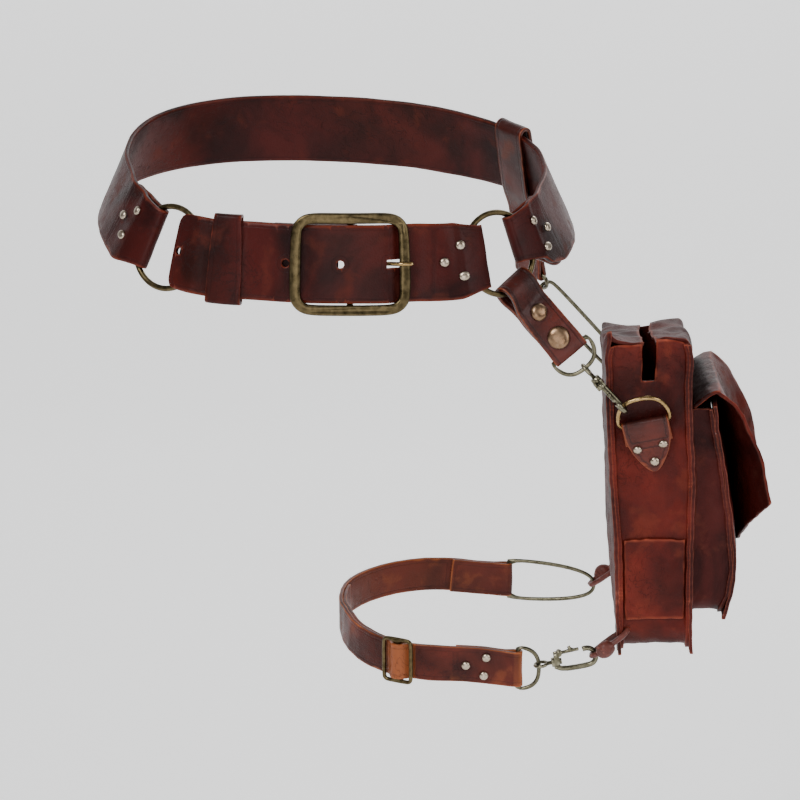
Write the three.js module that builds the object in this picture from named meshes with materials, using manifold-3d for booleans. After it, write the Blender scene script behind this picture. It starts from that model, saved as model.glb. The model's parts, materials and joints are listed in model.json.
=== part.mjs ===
// Belt bag: a hip belt with two rings, a hanging bag with a flapped pocket, and a thigh strap.
// Millimetres, +Z up, -Y the wearer's front, origin in the middle of the waist loop.
import * as THREE from 'three';
import { mergeVertices } from 'three/addons/utils/BufferGeometryUtils.js';
import Module from 'manifold-3d';

const wasm = await Module();
wasm.setup();

// Fits
const GAP = 0.3;

// Belt loop
const LOOP_WIDTH = 302;
const LOOP_DEPTH = 224;
const LOOP_POWER = 2.2;
const BELT_MEAN_HEIGHT = 22;
const BACK_RISE = 56;
const SIDE_DROP = 6.5;
const RING_SPACING = 217;
const BELT_WIDTH = 50;
const BELT_LEATHER = 3;

// Belt rings
const RING_BORE = 50;
const RING_WIRE = 4;
const RING_SEAT_WIDTH = 41;
const RING_TAIL = 50;
const KEEPER_TAIL = 31;

// Buckle
const BUCKLE_PLACE = 11.2;
const BUCKLE_LENGTH = 75;
const BUCKLE_HEIGHT = 65;
const BUCKLE_RAIL = 6.2;
const BUCKLE_THICKNESS = 3.5;
const BUCKLE_CORNER = 13;
const BUCKLE_BAR = 3.5;
const PRONG_WIRE = 2.6;
const HOLE_PITCH = 34.3;
const HOLE_DIAMETER = 5;
const KEEPER_PLACE = -67;
const KEEPER_WIDTH = 18;
const KEEPER_LEATHER = 2;

// Rivets and snap caps
const RIVET_DIAMETER = 6.2;
const RIVET_RISE = 1.5;
const SMALL_CAP = 11.5;
const LARGE_CAP = 15;
const CAP_RISE = 2.6;

// Front hanger
const HANGER_WIDTH = 25;
const HANGER_LEATHER = 2.5;
const HANGER_ANGLE = -72;
const HANGER_LENGTH = 55;
const HANGER_RUN = new THREE.Vector3(0.655, -0.12, -0.746);
const DROP_RING_WIDTH = 33;
const DROP_RING_DEPTH = 16;
const SMALL_WIRE = 3;

// Bag
const BAG_YAW = 4.1;
const BAG_LEAN = 2.9;
const BAG_LENGTH = 150;
const BAG_DEPTH = 56;
const BAG_FOOT_DEPTH = 49;
const BAG_HEIGHT = 208;
const BAG_LEATHER = 2;
const SEAM_HEIGHT = 4.5;
const MOUTH_WIDTH = 8;
const MOUTH_NOTCH = 24;
const BAG_RING_WIDTH = 38;
const BAG_RING_DEPTH = 23;
const BAG_RING_DROP = 50;
const TAB_WIDTH = 31;
const TAB_LENGTH = 34;

// Pocket
const POCKET_LENGTH = 120;
const POCKET_TOP = 46;
const POCKET_HEIGHT = 144;
const POCKET_MOUTH_DEPTH = 16;
const POCKET_FOOT_DEPTH = 30;
const FLAP_DROP = 78;
const FLAP_TIP_DROP = 122;
const FLAP_RISE = 10;
const FLAP_FLARE = 25;
const STUD_DIAMETER = 12;

// Thigh strap
const THIGH_WIDTH = 176;
const THIGH_DEPTH = 168;
const THIGH_POWER = 2.1;
const THIGH_STRAP_WIDTH = 25;
const THIGH_LEATHER = 2.5;
const THIGH_RING_WIDTH = 33;
const THIGH_RING_DEPTH = 15;
const THIGH_STRAIGHT = 34;
const THIGH_TAIL = 42;
const SLIDER_PLACE = 82;
const SLIDER_TAIL = 112;
const SLIDER_LENGTH = 24;
const SLIDER_HEIGHT = 33;
const SLIDER_WIRE = 3;

// Corner ties and the hidden rear side
const TIE_WIRE = 3;
const TIE_LENGTH = 31;
const TIE_HEIGHT = 14;
const KNOT_DIAMETER = 13;
const REAR_PLACE = 290;
const REAR_LENGTH = 118;
const LINK_WIDTH = 14;

// Snap hooks
const HOOK_LENGTH = 40;
const HOOK_WIRE = 3.6;
const HOOK_BIGHT = 9;
const EYE_BORE = 6.5;
const GATE_WIRE = 2.2;
const PIN_DIAMETER = 1.8;

// Mesh steps
const ARC_STEPS = 5;
const WIRE_SIDES = 6;
const STRAP_STEP = 9;
const DISC_SIDES = 10;
const CAP_SIDES = 8;

const { degToRad, lerp, smoothstep } = THREE.MathUtils;
const UP = new THREE.Vector3(0, 0, 1);
const vec = (x, y, z) => new THREE.Vector3(x, y, z);

// Finishes
function leather(color) {
  return new THREE.MeshStandardMaterial({ color, roughness: 0.45, metalness: 0 });
}

function brass(color) {
  return new THREE.MeshStandardMaterial({ color, roughness: 0.4, metalness: 1 });
}

const BELT_FINISH = leather(0x4a1b18);
const BAG_FINISH = leather(0x6e2a22);
const TIE_FINISH = leather(0x8a4a42);
const DARK_BRASS = brass(0x8a7a55);
const BRIGHT_BRASS = brass(0xb89a5e);
const RIVET_FINISH = brass(0xc9bda6);

// Numbers from one value to another in equal steps no longer than the step given.
function spaced(from, to, step) {
  const count = Math.max(1, Math.ceil(Math.abs(to - from) / step - 1e-9));
  return Array.from({ length: count + 1 }, (_, i) => lerp(from, to, i / count));
}

// The same stretch with its inner stations on multiples of the step, so that layers bend together.
function stops(from, to, step) {
  const [low, high] = [Math.min(from, to), Math.max(from, to)];
  const first = Math.ceil(low / step + 0.3);
  const count = Math.max(0, Math.floor(high / step - 0.3) - first + 1);
  const inner = Array.from({ length: count }, (_, i) => (first + i) * step);
  const line = [low, ...inner, high];
  return from < to ? line : line.reverse();
}

// A smooth curve through the rows of a table, level at each row.
function through(rows, value) {
  const after = rows.findIndex((row) => row.at >= value);
  if (after === 0) return rows[0].height;
  if (after < 0) return rows[rows.length - 1].height;
  const [a, b] = [rows[after - 1], rows[after]];
  return lerp(a.height, b.height, smoothstep(value, a.at, b.at));
}

// A closed geometry from vertices and triangles, turned so that its faces point out.
function closedGeometry(points, triangles) {
  const volume = triangles.reduce((sum, [a, b, c]) => {
    return sum + points[a].dot(points[b].clone().cross(points[c]));
  }, 0);
  const ordered = volume < 0 ? triangles.map(([a, b, c]) => [a, c, b]) : triangles;
  const geometry = new THREE.BufferGeometry();
  geometry.setAttribute('position', new THREE.Float32BufferAttribute(points.flatMap((p) => p.toArray()), 3));
  geometry.setIndex(ordered.flat());
  return geometry;
}

// A solid through rings of as many points each, joined end to end or with its ends zipped shut.
function loft(rings, closed = false) {
  const size = rings[0].length;
  const points = rings.flat();
  const triangles = [];
  const quad = (a, b, c, d) => {
    const even = points[a].distanceTo(points[c]) <= points[b].distanceTo(points[d]);
    triangles.push(...(even ? [[a, b, c], [a, c, d]] : [[b, c, d], [b, d, a]]));
  };
  const spans = closed ? rings.length : rings.length - 1;
  for (let i = 0; i < spans; i += 1) {
    const [row, next] = [i * size, ((i + 1) % rings.length) * size];
    for (let k = 0; k < size; k += 1) {
      const other = (k + 1) % size;
      quad(row + k, row + other, next + other, next + k);
    }
  }
  if (!closed) {
    const last = (rings.length - 1) * size;
    for (let k = 0; k < size / 2 - 1; k += 1) {
      const [far, farther] = [size - 1 - k, size - 2 - k];
      quad(k, far, farther, k + 1);
      quad(last + k, last + k + 1, last + farther, last + far);
    }
  }
  return closedGeometry(points, triangles);
}

// A leather sheet: half its thickness on each side of a surface of two shares, across and along.
function sheet(surface, across, along, thickness) {
  const step = 1e-3;
  const offset = (u, v, side) => {
    const du = surface(u + step, v).sub(surface(u - step, v));
    const dv = surface(u, v + step).sub(surface(u, v - step));
    return surface(u, v).addScaledVector(du.cross(dv).normalize(), (side * thickness) / 2);
  };
  const rings = along.map((v) => {
    const face = across.map((u) => offset(u, v, 1));
    const back = across.map((u) => offset(u, v, -1)).reverse();
    return [...face, ...back];
  });
  return loft(rings);
}

// A strap: a flat section carried along a line of places (along) and heights (rise) in a frame.
function strap(line, frame, thickness, closed = false) {
  const count = line.length;
  const rings = line.map((point, i) => {
    const before = line[closed ? (i + count - 1) % count : Math.max(i - 1, 0)];
    const after = line[closed ? (i + 1) % count : Math.min(i + 1, count - 1)];
    const run = new THREE.Vector2(after.along - before.along, after.rise - before.rise).normalize();
    const { place, ahead, wide, out } = frame(point.along);
    const centre = place.clone().addScaledVector(out, point.rise);
    const half = out.clone().multiplyScalar(run.x).addScaledVector(ahead, -run.y).multiplyScalar(thickness / 2);
    centre.addScaledVector(wide, point.shift ?? 0);
    const corner = (w, h) => centre.clone().addScaledVector(wide, w * point.half).addScaledVector(half, h);
    return [corner(-1, 1), corner(1, 1), corner(1, -1), corner(-1, -1)];
  });
  return loft(rings, closed);
}

// A round wire along a flat line of points, in its own XY plane.
function wire(points, diameter, closed = false, sides = WIRE_SIDES) {
  const count = points.length;
  const rings = points.map((point, i) => {
    const before = points[closed ? (i + count - 1) % count : Math.max(i - 1, 0)];
    const after = points[closed ? (i + 1) % count : Math.min(i + 1, count - 1)];
    const run = new THREE.Vector2().subVectors(after, before).normalize();
    const side = vec(-run.y, run.x, 0);
    return Array.from({ length: sides }, (_, k) => {
      const turn = (2 * Math.PI * (k + 0.5)) / sides;
      const reach = side.clone().multiplyScalar(Math.cos(turn)).addScaledVector(UP, Math.sin(turn));
      return vec(point.x, point.y, 0).addScaledVector(reach, diameter / 2);
    });
  });
  return loft(rings, closed);
}

// A solid of the boolean library from a closed geometry, and back.
function solid(geometry) {
  const bare = geometry.clone();
  bare.deleteAttribute('normal');
  bare.deleteAttribute('uv');
  const merged = mergeVertices(bare, 1e-4);
  const triVerts = new Uint32Array(merged.index.array);
  return new wasm.Manifold(new wasm.Mesh({ numProp: 3, vertProperties: merged.attributes.position.array, triVerts }));
}

function geometryOf(body) {
  const mesh = body.getMesh();
  const geometry = new THREE.BufferGeometry();
  geometry.setAttribute('position', new THREE.BufferAttribute(mesh.vertProperties, 3));
  geometry.setIndex(new THREE.BufferAttribute(mesh.triVerts, 1));
  return geometry;
}

function joined(...geometries) {
  return geometryOf(geometries.map(solid).reduce((all, next) => all.add(next)));
}

function cut(geometry, ...tools) {
  return geometryOf(tools.map(solid).reduce((rest, tool) => rest.subtract(tool), solid(geometry)));
}

// Moves every vertex of a geometry by a rule.
function bent(geometry, rule) {
  const position = geometry.attributes.position;
  for (let i = 0; i < position.count; i += 1) {
    const p = rule(vec(position.getX(i), position.getY(i), position.getZ(i)));
    position.setXYZ(i, p.x, p.y, p.z);
  }
  return geometry;
}

// A named piece, put at a place with its X and Z axes along two directions.
function piece(name, geometry, material, place = vec(0, 0, 0), ahead = vec(1, 0, 0), out = UP) {
  const mesh = new THREE.Mesh(geometry, material);
  const side = out.clone().cross(ahead).normalize();
  mesh.name = name;
  mesh.position.copy(place);
  mesh.quaternion.setFromRotationMatrix(new THREE.Matrix4().makeBasis(side.clone().cross(out), side, out));
  return mesh;
}

// A direction with its share along another taken out.
function square(direction, other) {
  return direction.clone().addScaledVector(other, -direction.dot(other)).normalize();
}

function oval(width, depth, power, turn) {
  const reach = (value, size) => (Math.sign(value) * size * Math.abs(value) ** (2 / power)) / 2;
  return vec(reach(Math.sin(turn), width), -reach(Math.cos(turn), depth), 0);
}

// Lengths along a loop, measured both ways from its front, and the turn at a length.
function measured(point) {
  const steps = 720;
  const turns = Array.from({ length: 2 * steps + 1 }, (_, i) => (Math.PI * (i - steps)) / steps);
  const places = turns.map(point);
  const lengths = [0];
  places.slice(1).forEach((place, i) => lengths.push(lengths[i] + place.distanceTo(places[i])));
  const [front, total] = [lengths[steps], lengths[2 * steps]];
  const turnAt = (distance) => {
    const target = THREE.MathUtils.euclideanModulo(distance + front, total);
    const after = Math.max(1, lengths.findIndex((length) => length >= target));
    const share = (target - lengths[after - 1]) / (lengths[after] - lengths[after - 1]);
    return lerp(turns[after - 1], turns[after], share);
  };
  const lengthAt = (turn) => lengths[Math.round(((turn + Math.PI) * steps) / Math.PI)] - front;
  return { total, turnAt, lengthAt };
}

// The belt's own line: its height, its slant and a frame at each length
const RING_TURN = Math.asin((RING_SPACING / LOOP_WIDTH) ** (LOOP_POWER / 2));
const FRONT_TILT = 2;
const FRONT_RISE = 3.4;
const FLAT_NEAR = 26;
const FLAT_FAR = 62;

function beltHeight(turn) {
  const side = Math.sign(turn) || 1;
  const share = Math.abs(turn) / RING_TURN;
  const seat = FRONT_RISE - side * FRONT_TILT;
  if (share <= 1) return FRONT_RISE * share ** 2 - side * FRONT_TILT * share;
  const back = (Math.abs(turn) - RING_TURN) / (Math.PI - RING_TURN);
  const tilt = side * SIDE_DROP * Math.sin(back * Math.PI);
  return seat + (BACK_RISE - seat) * Math.sin((back * Math.PI) / 2) - tilt;
}

function beltSlant(turn) {
  const rest = Math.abs(turn) < Math.PI / 2 ? 5 : 14;
  return degToRad(lerp(rest, 24, Math.sin(turn) ** 2));
}

const beltPoint = (turn) => oval(LOOP_WIDTH, LOOP_DEPTH, LOOP_POWER, turn).setZ(beltHeight(turn));
const belt = measured(beltPoint);
const looseBelt = (length) => beltPoint(belt.turnAt(length));
const RING_LENGTH = { right: belt.lengthAt(RING_TURN), left: belt.lengthAt(-RING_TURN) };

function leaning(ahead, slant) {
  const level = ahead.clone().cross(UP).normalize();
  const rise = UP.clone().multiplyScalar(Math.cos(slant)).addScaledVector(level, -Math.sin(slant));
  return square(rise, ahead);
}

// The flat plane that each ring lies in, with the run of the strap before it and after it.
function ringSeat(length, side) {
  const centre = looseBelt(length);
  const reach = 4 * side;
  const front = centre.clone().sub(looseBelt(length - reach)).multiplyScalar(side).normalize();
  const back = looseBelt(length + reach).sub(centre).multiplyScalar(side).normalize();
  const wide = leaning(front, beltSlant(belt.turnAt(length)));
  const out = front.clone().cross(wide);
  return { length, side, centre, front, back: square(back, out), wide, out };
}

const RINGS = {
  right: ringSeat(RING_LENGTH.right, 1),
  left: ringSeat(RING_LENGTH.left, -1),
};

function wrapped(length) {
  return THREE.MathUtils.euclideanModulo(length + belt.total / 2, belt.total) - belt.total / 2;
}

function nearestRing(length) {
  return wrapped(length) >= 0 ? RINGS.right : RINGS.left;
}

function beltPlace(length, ring) {
  const past = wrapped(length) - ring.length;
  const run = past * ring.side > 0 ? ring.back : ring.front;
  const weight = 1 - smoothstep(Math.abs(past), FLAT_NEAR, FLAT_FAR);
  const flat = ring.centre.clone().addScaledVector(run, past);
  return { place: looseBelt(length).lerp(flat, weight), run, weight };
}

function beltFrame(length) {
  const ring = nearestRing(length);
  const { place, run, weight } = beltPlace(length, ring);
  const ahead = beltPlace(length + 1, ring).place.sub(beltPlace(length - 1, ring).place).normalize();
  const loose = leaning(ahead, beltSlant(belt.turnAt(length)));
  const wide = square(loose.lerp(ring.out.clone().cross(run), weight), ahead);
  return { place, ahead, wide, out: ahead.clone().cross(wide) };
}

// A point given along, across and above the belt.
function onBelt(point, lift = 0) {
  const { place, wide, out } = beltFrame(point.x);
  return place.addScaledVector(wide, point.y).addScaledVector(out, point.z + lift);
}

// Layers of the belt: the lower one lies at height 0, the tongue rides one layer above it
const LAYER = BELT_LEATHER + GAP;
const RING_PLANE = -LAYER / 2;
const FOLD_RADIUS = RING_WIRE / 2 + GAP + BELT_LEATHER / 2;
const FOLD_SEAT = Math.sqrt((RING_BORE / 2) ** 2 - (RING_SEAT_WIDTH / 2) ** 2) + RING_WIRE / 2 - 0.2;
const SETTLE_FROM = (RING_BORE + 2 * RING_WIRE) / 2;
const SETTLE = SETTLE_FROM + 7;

function beltHalf(past) {
  return lerp(RING_SEAT_WIDTH, BELT_WIDTH, smoothstep(past, FOLD_SEAT + 4, SETTLE)) / 2;
}

// A strap end that turns back under itself round a wire: past is the distance from the wire's own centre.
function foldedEnd({ seat, radius, layer, from, to, tail, halfAt, step }) {
  const plane = -layer / 2;
  const height = (past, side, rest) => lerp(plane + side * radius, rest, smoothstep(past, from, to));
  const ease = spaced(from, to, (to - from) / 3);
  const flat = tail > to ? spaced(tail, to, step).slice(0, -1) : [tail];
  const under = [...flat, ...ease.filter((past) => past < tail).reverse(), seat].map((past) => {
    return { past, rise: height(past, -1, -layer), half: halfAt(past) };
  });
  const round = spaced(-90, 90, 180 / ARC_STEPS).slice(1, -1).map((angle) => {
    const [c, s] = [Math.cos(degToRad(angle)), Math.sin(degToRad(angle))];
    return { past: seat - radius * c, rise: plane + radius * s, half: halfAt(seat) };
  });
  const over = [seat, ...ease].map((past) => {
    return { past, rise: height(past, 1, 0), half: halfAt(past) };
  });
  return { line: [...under, ...round, ...over], riseAt: (past) => height(past, 1, 0) };
}

const beltEnd = (tail) => foldedEnd({
  seat: FOLD_SEAT, radius: FOLD_RADIUS, layer: LAYER, from: SETTLE_FROM, to: SETTLE, tail, halfAt: beltHalf,
  step: STRAP_STEP,
});

// The same end set on the belt: heading is +1 where the strap leaves the ring towards greater lengths.
function endAt(ring, heading, tail = RING_TAIL) {
  return beltEnd(tail).line.map(({ past, rise, half }) => ({ along: ring.length + heading * past, rise, half }));
}

// Buckle heights, above the lower layer
const BAR_HEIGHT = -2.2;
const BAR_FOLD = BUCKLE_BAR / 2 + 0.1 + BELT_LEATHER / 2;
const FRAME_LEFT = LAYER + BELT_LEATHER / 2 + 2 * GAP;
const FRAME_RIGHT = 2.5;
const frameLift = (x) => lerp(FRAME_LEFT, FRAME_RIGHT, x / BUCKLE_LENGTH + 0.5);

const OVER_BAR = BAR_HEIGHT + BAR_FOLD + BELT_LEATHER + GAP;
const TONGUE_ROWS = [
  { at: -0.44, height: LAYER },
  { at: -0.24, height: OVER_BAR },
  { at: 0, height: OVER_BAR },
  { at: 0.3, height: OVER_BAR - 0.2 },
  { at: 0.365, height: 2.5 },
  { at: 0.39, height: 0.35 },
  { at: 0.62, height: 0 },
];

const TIP_LIFT = 1.4;

// The tongue runs from the right ring, under and over the buckle, to its tip beside the left ring.
function tongueLine() {
  const tip = RINGS.left.length + FOLD_SEAT - 4;
  const { riseAt } = beltEnd(KEEPER_TAIL);
  const corner = 7;
  const fixed = endAt(RINGS.right, -1);
  const start = fixed[fixed.length - 1].along;
  const near = BUCKLE_PLACE + 0.66 * BUCKLE_LENGTH;
  const far = BUCKLE_PLACE - 0.45 * BUCKLE_LENGTH;
  const stations = [
    ...stops(start, near, STRAP_STEP).slice(1),
    ...spaced(near, BUCKLE_PLACE + 0.24 * BUCKLE_LENGTH, 0.035 * BUCKLE_LENGTH).slice(1),
    ...spaced(BUCKLE_PLACE + 0.24 * BUCKLE_LENGTH, far, 0.07 * BUCKLE_LENGTH).slice(1),
    ...stops(far, RINGS.left.length + SETTLE, STRAP_STEP).slice(1),
    ...spaced(SETTLE, SETTLE_FROM, (SETTLE - SETTLE_FROM) / 3).slice(1).map((past) => RINGS.left.length + past),
    ...[0.7, 0.4, 0.15, 0].map((share) => tip + share * corner),
  ];
  const run = stations.map((along) => {
    const share = (along - BUCKLE_PLACE) / BUCKLE_LENGTH;
    const past = along - RINGS.left.length;
    const lift = share < -1 ? TIP_LIFT * riseAt(past) : 0;
    const edge = Math.max(0, 1 - (along - tip) / corner);
    const half = BELT_WIDTH / 2 - corner * (1 - Math.sqrt(1 - edge ** 2));
    return { along, rise: through(TONGUE_ROWS, share) + lift, half: Math.min(half, beltHalf(start)) };
  });
  return [...fixed, ...run];
}

const HOLE_LINE = [-3.18, -2.18, -1.18, -0.18].map((turn) => BUCKLE_PLACE + turn * HOLE_PITCH);
const PRONG_HOLE = { from: 22.8, to: 31.5, width: PRONG_WIRE + 2.6 };

function punch(x, diameter) {
  const rod = new THREE.CylinderGeometry(diameter / 2, diameter / 2, 12, DISC_SIDES).rotateX(Math.PI / 2);
  return bent(rod.translate(x, 0, 4), (p) => onBelt(p));
}

function beltTongue() {
  const slot = new THREE.BoxGeometry(PRONG_HOLE.to - PRONG_HOLE.from, PRONG_HOLE.width, 12);
  slot.translate(BUCKLE_PLACE + (PRONG_HOLE.from + PRONG_HOLE.to) / 2, 0, 2);
  const holes = HOLE_LINE.map((x) => punch(x, HOLE_DIAMETER));
  const body = strap(tongueLine(), beltFrame, BELT_LEATHER);
  return piece('belt_tongue', cut(body, bent(slot, (p) => onBelt(p)), ...holes), BELT_FINISH);
}

// The buckle strap runs from the left ring, under the tongue, and folds round the buckle's bar.
function buckleStrapLine() {
  const fixed = endAt(RINGS.left, 1, KEEPER_TAIL);
  const start = fixed[fixed.length - 1].along;
  const half = BELT_WIDTH / 2;
  const calm = BUCKLE_PLACE - 14;
  const top = BAR_HEIGHT + BAR_FOLD;
  const under = BAR_HEIGHT - BAR_FOLD;
  const out = stops(start, calm, STRAP_STEP).slice(1).map((along) => ({ along, rise: 0, half }));
  const up = spaced(calm, BUCKLE_PLACE, 3.5).slice(1).map((along) => {
    return { along, rise: top * smoothstep(along, calm, BUCKLE_PLACE), half };
  });
  const round = spaced(90, -90, 180 / ARC_STEPS).slice(1, -1).map((angle) => {
    const [c, s] = [Math.cos(degToRad(angle)), Math.sin(degToRad(angle))];
    return { along: BUCKLE_PLACE + BAR_FOLD * c, rise: BAR_HEIGHT + BAR_FOLD * s, half };
  });
  const back = [...spaced(BUCKLE_PLACE, calm, 3.5), ...stops(calm, BUCKLE_PLACE - RING_TAIL, STRAP_STEP).slice(1)].map((along) => {
    return { along, rise: lerp(-LAYER, under, smoothstep(along, calm, BUCKLE_PLACE)), half };
  });
  return [...fixed, ...out, ...up, ...round, ...back];
}

const HUB_WIDTH = 5;

function beltBuckleStrap() {
  const slot = new THREE.BoxGeometry(17, HUB_WIDTH + 3, 14);
  slot.translate(BUCKLE_PLACE + 1, 0, BAR_HEIGHT);
  const body = strap(buckleStrapLine(), beltFrame, BELT_LEATHER);
  return piece('belt_buckle_strap', cut(body, bent(slot, (p) => onBelt(p))), BELT_FINISH);
}

// The back strap runs round the hips from ring to ring; its near end leaves room below for the drop strap.
const NARROW_SHARE = 5;

function beltBack() {
  const narrowed = (past) => 1 - smoothstep(past, SETTLE_FROM, SETTLE + 8);
  const first = endAt(RINGS.right, 1).map((point) => {
    const lift = NARROW_SHARE * narrowed(point.along - RINGS.right.length);
    return { ...point, half: point.half - lift, shift: lift };
  });
  const second = endAt({ length: RINGS.left.length + belt.total }, -1).reverse();
  const [from, to] = [first[first.length - 1].along, second[0].along];
  const run = spaced(from, to, 1.6 * STRAP_STEP).slice(1, -1).map((along) => {
    const past = Math.min(along - RINGS.right.length, RINGS.left.length + belt.total - along);
    const lift = NARROW_SHARE * narrowed(along - RINGS.right.length);
    return { along, rise: 0, half: beltHalf(past) - lift, shift: lift };
  });
  return piece('belt_back', strap([...first, ...run, ...second], beltFrame, BELT_LEATHER), BELT_FINISH);
}

function beltRing(name, ring) {
  const mean = (RING_BORE + RING_WIRE) / 2;
  const torus = new THREE.TorusGeometry(mean, RING_WIRE / 2, WIRE_SIDES, 28);
  const place = ring.centre.clone().addScaledVector(ring.out, RING_PLANE);
  return piece(name, torus, DARK_BRASS, place, ring.front, ring.out);
}

// A rounded rectangle's outline, with points along its long sides.
function roundedRectangle(width, height, radius, sideSteps) {
  const corners = [[1, -1], [1, 1], [-1, 1], [-1, -1]];
  return corners.flatMap(([sx, sy], k) => {
    const centre = new THREE.Vector2(sx * (width / 2 - radius), sy * (height / 2 - radius));
    const arc = spaced(0, 90, 90 / 3).map((angle) => {
      const turn = degToRad(angle + 90 * (k - 1));
      return new THREE.Vector2(centre.x + radius * Math.cos(turn), centre.y + radius * Math.sin(turn));
    });
    const end = arc[arc.length - 1];
    const level = k % 2 === 1;
    const extra = level ? Array.from({ length: sideSteps - 1 }, (_, i) => {
      return new THREE.Vector2(lerp(end.x, -end.x, (i + 1) / sideSteps), end.y);
    }) : [];
    return [...arc, ...extra];
  });
}

function buckleFrame() {
  const outline = new THREE.Shape(roundedRectangle(BUCKLE_LENGTH, BUCKLE_HEIGHT, BUCKLE_CORNER, 4));
  const window = roundedRectangle(
    BUCKLE_LENGTH - 2 * BUCKLE_RAIL, BUCKLE_HEIGHT - 2 * BUCKLE_RAIL, BUCKLE_CORNER - BUCKLE_RAIL, 4);
  outline.holes.push(new THREE.Path(window.reverse()));
  const chamfer = 0.8;
  const frame = new THREE.ExtrudeGeometry(outline, {
    depth: BUCKLE_THICKNESS - 2 * chamfer, bevelEnabled: true, bevelSegments: 1,
    bevelSize: chamfer, bevelThickness: chamfer, bevelOffset: -chamfer,
  });
  bent(frame.translate(0, 0, chamfer), (p) => vec(p.x, p.y, p.z + frameLift(p.x)));
  const rail = (BUCKLE_HEIGHT - BUCKLE_RAIL) / 2;
  const bar = new THREE.CylinderGeometry(BUCKLE_BAR / 2, BUCKLE_BAR / 2, 2 * rail, DISC_SIDES);
  bar.translate(0, 0, BAR_HEIGHT);
  const foot = BAR_HEIGHT - BUCKLE_BAR / 2;
  const tall = frameLift(0) + BUCKLE_THICKNESS / 2 - foot;
  const posts = [-1, 1].map((side) => {
    return new THREE.BoxGeometry(4, 3.6, tall).translate(0, side * rail, foot + tall / 2);
  });
  const whole = joined(frame, bar, ...posts).translate(BUCKLE_PLACE, 0, 0);
  return piece('buckle_frame', bent(whole, (p) => onBelt(p)), DARK_BRASS);
}

// The prong turns on the bar, passes up through its hole and lies on the right rail.
const PRONG_ROWS = [
  { along: 2.6, rise: -0.6 }, { along: 10, rise: -0.3 }, { along: 18, rise: 0.2 },
  { along: 23.5, rise: 1.2 }, { along: 27.5, rise: 3.8 }, { along: 31.2, rise: 7.4 },
  { along: 34.4, rise: 7.9 }, { along: 38.5, rise: 7.9 },
];

function buckleProng() {
  const flat = PRONG_ROWS.map(({ along, rise }) => new THREE.Vector2(along, rise));
  const rod = wire(flat, PRONG_WIRE).rotateX(Math.PI / 2);
  const bore = BUCKLE_BAR / 2 + GAP;
  const hubWall = 1.5;
  const outline = new THREE.Shape().absarc(0, 0, bore + hubWall, 0, 2 * Math.PI);
  outline.holes.push(new THREE.Path().absarc(0, 0, bore, 0, 2 * Math.PI, true));
  const hub = new THREE.ExtrudeGeometry(outline, { depth: HUB_WIDTH, bevelEnabled: false, curveSegments: 5 });
  hub.translate(0, 0, -HUB_WIDTH / 2).rotateX(Math.PI / 2).translate(0, 0, BAR_HEIGHT);
  const whole = joined(rod, hub).translate(BUCKLE_PLACE, 0, 0);
  return piece('buckle_prong', bent(whole, (p) => onBelt(p)), DARK_BRASS);
}

// A leather loop round both layers.
function beltKeeper() {
  const room = 3 * GAP;
  const low = -BELT_LEATHER / 2 - room;
  const high = LAYER + BELT_LEATHER / 2 + room;
  const width = BELT_WIDTH + 4;
  const outer = roundedRectangle(width + 2 * KEEPER_LEATHER, high - low + 2 * KEEPER_LEATHER, 2.6, 1);
  const inner = roundedRectangle(width, high - low, 1, 1);
  const outline = new THREE.Shape(outer);
  outline.holes.push(new THREE.Path(inner.reverse()));
  const band = new THREE.ExtrudeGeometry(outline, { depth: KEEPER_WIDTH, steps: 2, bevelEnabled: false });
  const laid = bent(band, (p) => onBelt(vec(KEEPER_PLACE + p.z - KEEPER_WIDTH / 2, p.x, p.y + (low + high) / 2)));
  return piece('belt_keeper', mended(laid), BELT_FINISH);
}

// A geometry whose faces point out, also after a mirrored move.
function mended(geometry) {
  const bare = geometry.clone();
  bare.deleteAttribute('normal');
  bare.deleteAttribute('uv');
  const merged = mergeVertices(bare, 1e-4);
  const position = merged.attributes.position;
  const points = Array.from({ length: position.count }, (_, i) => new THREE.Vector3().fromBufferAttribute(position, i));
  const index = Array.from(merged.index.array);
  const triangles = Array.from({ length: index.length / 3 }, (_, i) => index.slice(3 * i, 3 * i + 3));
  return closedGeometry(points, triangles);
}

// A domed cap with a flat seat at height 0.
function cap(diameter, rise, sides) {
  const profile = [[0, 0], [1, 0], [0.94, 0.4], [0.6, 0.85], [0, 1]];
  const points = profile.map(([r, h]) => new THREE.Vector2((r * diameter) / 2, h * rise));
  return new THREE.LatheGeometry(points, sides).rotateX(Math.PI / 2);
}

// A cap on a strap: frame and rise give the strap's own frame and outer height at a length.
function capOn(name, frame, rise, along, across, diameter, height, material) {
  const sides = diameter > RIVET_DIAMETER ? CAP_SIDES + 4 : CAP_SIDES;
  const lift = GAP * (1 + diameter / 10);
  const laid = bent(cap(diameter, height, sides), (p) => {
    const { place, wide, out } = frame(along + p.x);
    return place.addScaledVector(wide, across + p.y).addScaledVector(out, rise(along + p.x) + lift + p.z);
  });
  return piece(name, mended(laid), material);
}

// Rivets of the belt: past is the distance from the ring, across is measured upwards
const TONGUE_RIVETS = [{ past: 43.5, across: 0 }, { past: 32.5, across: 10 }, { past: 32.5, across: -10 }];
const SIDE_RIVETS = [{ past: 31, across: 12 }, { past: 43, across: 3 }, { past: 36, across: -8 }];

function beltRivets(prefix, ring, heading, rows) {
  const { riseAt } = beltEnd(RING_TAIL);
  const rise = (along) => riseAt(Math.abs(along - ring.length)) + BELT_LEATHER / 2;
  return rows.map(({ past, across }, i) => {
    const along = ring.length + heading * past;
    return capOn(`${prefix}_${i + 1}`, beltFrame, rise, along, across, RIVET_DIAMETER, RIVET_RISE, RIVET_FINISH);
  });
}

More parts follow.
